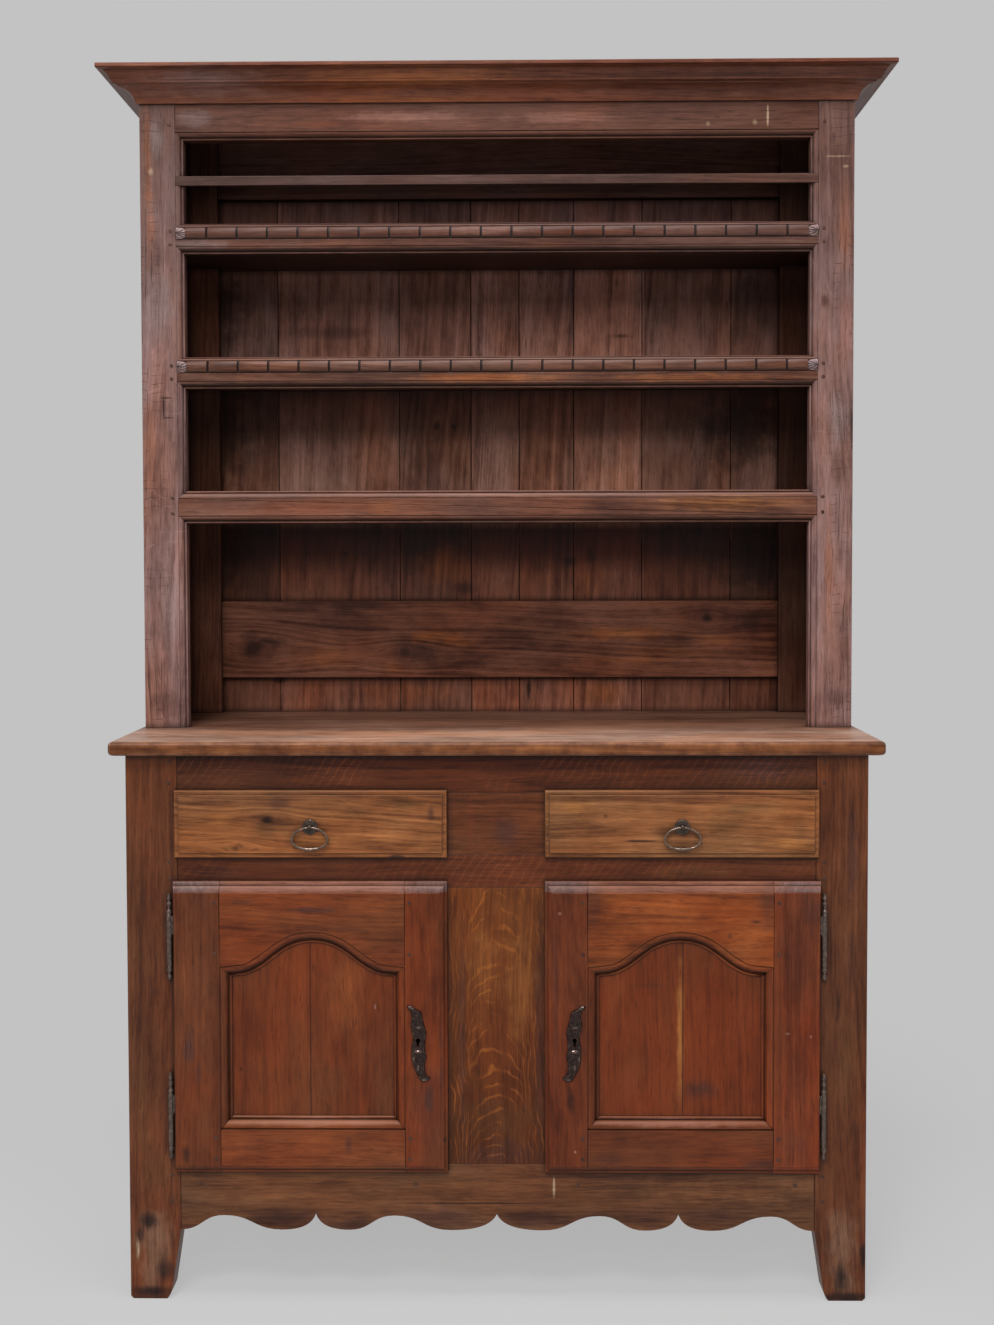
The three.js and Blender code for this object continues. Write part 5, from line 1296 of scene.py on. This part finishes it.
def forged_ring(side, material):
    """The drop ring as a smooth forged loop, pinched in the middle of its swelling."""
    name = f"pull_ring_{side}"
    solid = welded(name, whole_faces=False)
    low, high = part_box(name)
    middle = (low.x + high.x) / 2
    pinched = 0.0012
    foot = [
        vert for vert in solid.verts
        if abs(vert.co.x - middle) < pinched and vert.co.z < (low.z + high.z) / 2
    ]
    heart = sum((vert.co for vert in foot), Vector()) / len(foot)
    for vert in foot:
        vert.co = heart + (vert.co - heart) * 0.78
    piece = finish_mesh(solid, f"forged_ring_{side}", material, 180)
    smooth = piece.modifiers.new("smooth", "SUBSURF")
    smooth.levels = smooth.render_levels = 2
    stand_for(piece, name)


# Rosettes: how far the petals stand out, their count, the thickness of the sheet, its margin inside the
# round plate, where it starts as a share of the radius, and how finely it is divided
PETAL_RISE = 0.0009
PETALS = 8
PETAL_SHEET = 0.0004
PETAL_MARGIN = 0.0003
PETAL_START = 0.3
PETAL_RINGS = 8
PETAL_TURNS = 96


def rosette_petals(side, material):
    """Raised petals on the round plate behind the ring."""
    low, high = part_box(f"pull_post_{side}")
    centre_x = (low.x + high.x) / 2
    radius = (high.x - low.x) / 2 - PETAL_MARGIN
    centre_z = high.z - radius - PETAL_MARGIN
    solid = bmesh.new()
    rings = []
    for step in range(PETAL_RINGS + 1):
        share = PETAL_START + (1 - PETAL_START) * step / PETAL_RINGS
        swell = PETAL_RISE * math.sin(math.pi * min(1.0, share * 1.05))
        ring = []
        for turn in range(PETAL_TURNS):
            angle = 2 * math.pi * turn / PETAL_TURNS
            petal = abs(math.cos(PETALS / 2 * angle))
            reach = radius * share * (1 - 0.06 * (1 - petal) * share)
            ring.append(solid.verts.new((
                centre_x + reach * math.cos(angle),
                ROSETTE_FRONT - swell * (0.35 + 0.65 * petal),
                centre_z + reach * math.sin(angle),
            )))
        rings.append(ring)
    skin(solid, rings)
    piece = add_detail(solid, f"rosette_petals_{side}", material, 60, f"drawer_{side}")
    piece.modifiers.new("thickness", "SOLIDIFY").thickness = PETAL_SHEET


def dress_ironwork():
    hinge_iron = iron("hinge_iron", (0.105, 0.075, 0.062), (0.34, 0.26, 0.22), metallic=0.6, dull=0.24)
    rosette_iron = iron("rosette_iron", (0.040, 0.026, 0.018), (0.16, 0.11, 0.085), metallic=0.35)
    ring_iron = iron("ring_iron", (0.150, 0.104, 0.082), (0.36, 0.26, 0.21), metallic=0.6)
    for name in nodes:
        if name.startswith("hinge"):
            dressed(name, hinge_iron, bevel=0.0)
        if name.startswith("pull_post"):
            dressed(name, rosette_iron, bevel=0.0)
    for side in SIDES:
        cast_plate(side)
        forged_ring(side, ring_iron)
        rosette_petals(side, rosette_iron)


# Fans: where their centre lies, from the centre line, in depth and below the rail's top; how far the tip
# and the shell reach, their half height and depth, their flutes, and how finely they are divided
FAN_X = 0.5680
FAN_Y = -0.0605
FAN_DROP = 0.018
FAN_TIP = 0.011
FAN_REACH = 0.0225
FAN_HALF_HEIGHT = 0.0104
FAN_DEPTH = 0.0046
FAN_TIP_DEPTH = 0.0012
FAN_BACK = 0.001
FAN_FLUTES = 5.5
FAN_RINGS = 8
FAN_TURNS = 48


def carved_fan(name, centre, side, material):
    """A fluted half shell that closes the end of a bead."""
    x, y, z = centre
    solid = bmesh.new()
    tip = solid.verts.new((x + side * FAN_TIP, y - FAN_TIP_DEPTH, z))
    rings = []
    for step in range(1, FAN_RINGS + 1):
        share = step / FAN_RINGS
        ring = []
        for turn in range(FAN_TURNS + 1):
            angle = math.radians(-90 + 180 * turn / FAN_TURNS)
            flute = abs(math.sin(FAN_FLUTES * (angle + math.pi / 2)))
            ring.append(solid.verts.new((
                x + side * (FAN_TIP - FAN_REACH * share * math.cos(angle)),
                y - FAN_DEPTH * (1 - 0.75 * share ** 2) * (0.35 + 0.65 * flute ** 0.6),
                z + FAN_HALF_HEIGHT * share * math.sin(angle),
            )))
        rings.append(ring)
    for first, second in zip(rings[0], rings[0][1:]):
        solid.faces.new([tip, first, second])
    skin(solid, rings, closed=False)
    back_of = {vert: solid.verts.new((vert.co.x, y + FAN_BACK, vert.co.z)) for vert in list(solid.verts)}
    close_back(solid, back_of)
    add_detail(solid, name, material, 40, "case")


# Pegs: the X of each row, how far its face lies behind the base's front, and its heights. Then each peg's
# size, and its rings as a share of the radius and how far each stands out
POST_PEGS = (0.557, 0.0, (0.928, 0.892, 0.757, 0.728, 0.216, 0.172))
APRON_PEGS = ((0.139, 0.0, (0.201,)), (0.510, 0.0, (0.201,)))
RACK_PEGS = (0.590, RACK_BEHIND, (2.108, 2.056, 1.866, 1.842, 1.624, 1.600, 1.384, 1.356))
DOOR_PEG_HEIGHTS = (0.690, 0.602, 0.286, 0.250)
PEGS = {
    "case": (POST_PEGS, *APRON_PEGS, RACK_PEGS),
    "door": ((0.479, -DOOR_PROUD, DOOR_PEG_HEIGHTS), (0.147, -DOOR_PROUD, DOOR_PEG_HEIGHTS)),
}
PEG_RADIUS = 0.0034
PEG_SIDES = 10
PEG_RINGS = ((1.0, -0.001), (1.0, 0.0002), (0.8, 0.00045))


def add_pegs(kind, side_name, material):
    """Slightly proud riven pegs through the tenons of the case or of a door, on one side."""
    name = f"{kind}_pegs_{side_name}"
    random = np.random.default_rng(len(name))
    solid = bmesh.new()
    for row_x, depth, heights in PEGS[kind]:
        for z in heights:
            add_peg(solid, (SIDES[side_name] * row_x, BASE_FRONT + depth, z), random.uniform(0, math.pi))
    if kind == "case":
        add_detail(solid, name, material, SHARP_FROM, "case")
    else:
        add_detail(solid, name, material, SHARP_FROM, f"door_{side_name}")


def add_peg(solid, place, turn):
    """One peg: uneven rings that narrow towards its head."""
    x, front, z = place
    rings = []
    for share, out in PEG_RINGS:
        ring = []
        for step in range(PEG_SIDES):
            angle = turn + 2 * math.pi * step / PEG_SIDES
            reach = PEG_RADIUS * share * (1 + 0.12 * math.cos(2 * angle + turn))
            corner = (x + reach * math.cos(angle), front - out, z + reach * math.sin(angle))
            ring.append(solid.verts.new(corner))
        rings.append(ring)
    skin(solid, rings)
    solid.faces.new(list(reversed(rings[-1])))
    solid.faces.new(rings[0])


def dress_details():
    fan_wood = wood("bead_fans", FAN, "x", 61, wear=0.9, figure=0.2)
    peg_wood = wood("pegs", PEG, "y", 62, wear=0.9, figure=0.2)
    for level in ("upper", "middle"):
        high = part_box(f"shelf_rail_{level}")[1]
        for side_name, side in SIDES.items():
            centre = (side * FAN_X, FAN_Y, high.z - FAN_DROP)
            carved_fan(f"bead_fan_{level}_{side_name}", centre, side, fan_wood)
    for side_name in SIDES:
        add_pegs("case", side_name, peg_wood)
        add_pegs("door", side_name, peg_wood)


def add_floor():
    """A pale floor that holds the object's shadow near it and passes into the backdrop further away."""
    graph = Graph("studio_floor")
    point = graph.add("NewGeometry").outputs["Position"]
    away = graph.vector("LENGTH", graph.scaled(point, (1, 1, 0)))
    speckle = graph.noise(point, 3.0, 2.0, 0.5)
    graph.put(graph.shader.inputs["Base Color"], graph.mix(speckle, (0.70,) * 3, (0.74,) * 3))
    graph.shader.inputs["Roughness"].default_value = 0.9
    glow = graph.add("Emission")
    glow.inputs["Color"].default_value = (GREY, GREY, GREY, 1)
    seen = graph.add("LightPath")
    looked = graph.most(seen.outputs["Is Camera Ray"], seen.outputs["Is Glossy Ray"])
    looked = graph.most(looked, seen.outputs["Is Transmission Ray"])
    blend = graph.add("MixShader")
    graph.put(blend.inputs[0], graph.times(graph.span(away, 0.5, 2.2, 0.80, 1.0, smooth=True), looked))
    graph.put(blend.inputs[1], graph.shader.outputs[0])
    graph.put(blend.inputs[2], glow.outputs[0])
    graph.put(graph.output.inputs[0], blend.outputs[0])
    disc = bmesh.new()
    bmesh.ops.create_circle(disc, cap_ends=True, segments=64, radius=FLOOR_RADIUS)
    mesh = bpy.data.meshes.new("studio_floor")
    disc.to_mesh(mesh)
    disc.free()
    mesh.materials.append(graph.material)
    floor = linked("studio_floor", mesh)


def add_world():
    """An even grey that lights the object softly and is seen, and mirrored, as the backdrop."""
    world = bpy.data.worlds.new("studio")
    bpy.context.scene.world = world
    world.use_nodes = True
    tree = world.node_tree
    tree.nodes.clear()
    output = tree.nodes.new("ShaderNodeOutputWorld")
    path = tree.nodes.new("ShaderNodeLightPath")
    looked = path.outputs["Is Camera Ray"]
    for other in ("Is Glossy Ray", "Is Transmission Ray"):
        either = tree.nodes.new("ShaderNodeMath")
        either.operation = "MAXIMUM"
        tree.links.new(looked, either.inputs[0])
        tree.links.new(path.outputs[other], either.inputs[1])
        looked = either.outputs[0]
    blend = tree.nodes.new("ShaderNodeMixShader")
    tree.links.new(looked, blend.inputs[0])
    for socket, strength in ((1, AMBIENT / GREY), (2, 1.0)):
        plain = tree.nodes.new("ShaderNodeBackground")
        plain.inputs[0].default_value = (GREY, GREY, GREY, 1)
        plain.inputs[1].default_value = strength
        tree.links.new(plain.outputs[0], blend.inputs[socket])
    tree.links.new(blend.outputs[0], output.inputs[0])


def add_softbox(name, place, size, power):
    data = bpy.data.lights.new(name, "AREA")
    data.shape = "RECTANGLE"
    data.size, data.size_y = size
    data.energy = power
    lamp = linked(name, data)
    lamp.location = place
    lamp.visible_glossy = name not in UNMIRRORED_LAMPS
    lamp.rotation_euler = (Vector(LAMP_AIM) - Vector(place)).to_track_quat("-Z", "Y").to_euler()


add_camera()
add_world()
add_floor()
for lamp_name, (lamp_place, lamp_size, lamp_power) in LAMPS.items():
    add_softbox(lamp_name, lamp_place, lamp_size, lamp_power)
dress_woodwork()
dress_ironwork()
dress_details()

bpy.context.scene.view_settings.view_transform = "Standard"
bpy.context.view_layer.update()
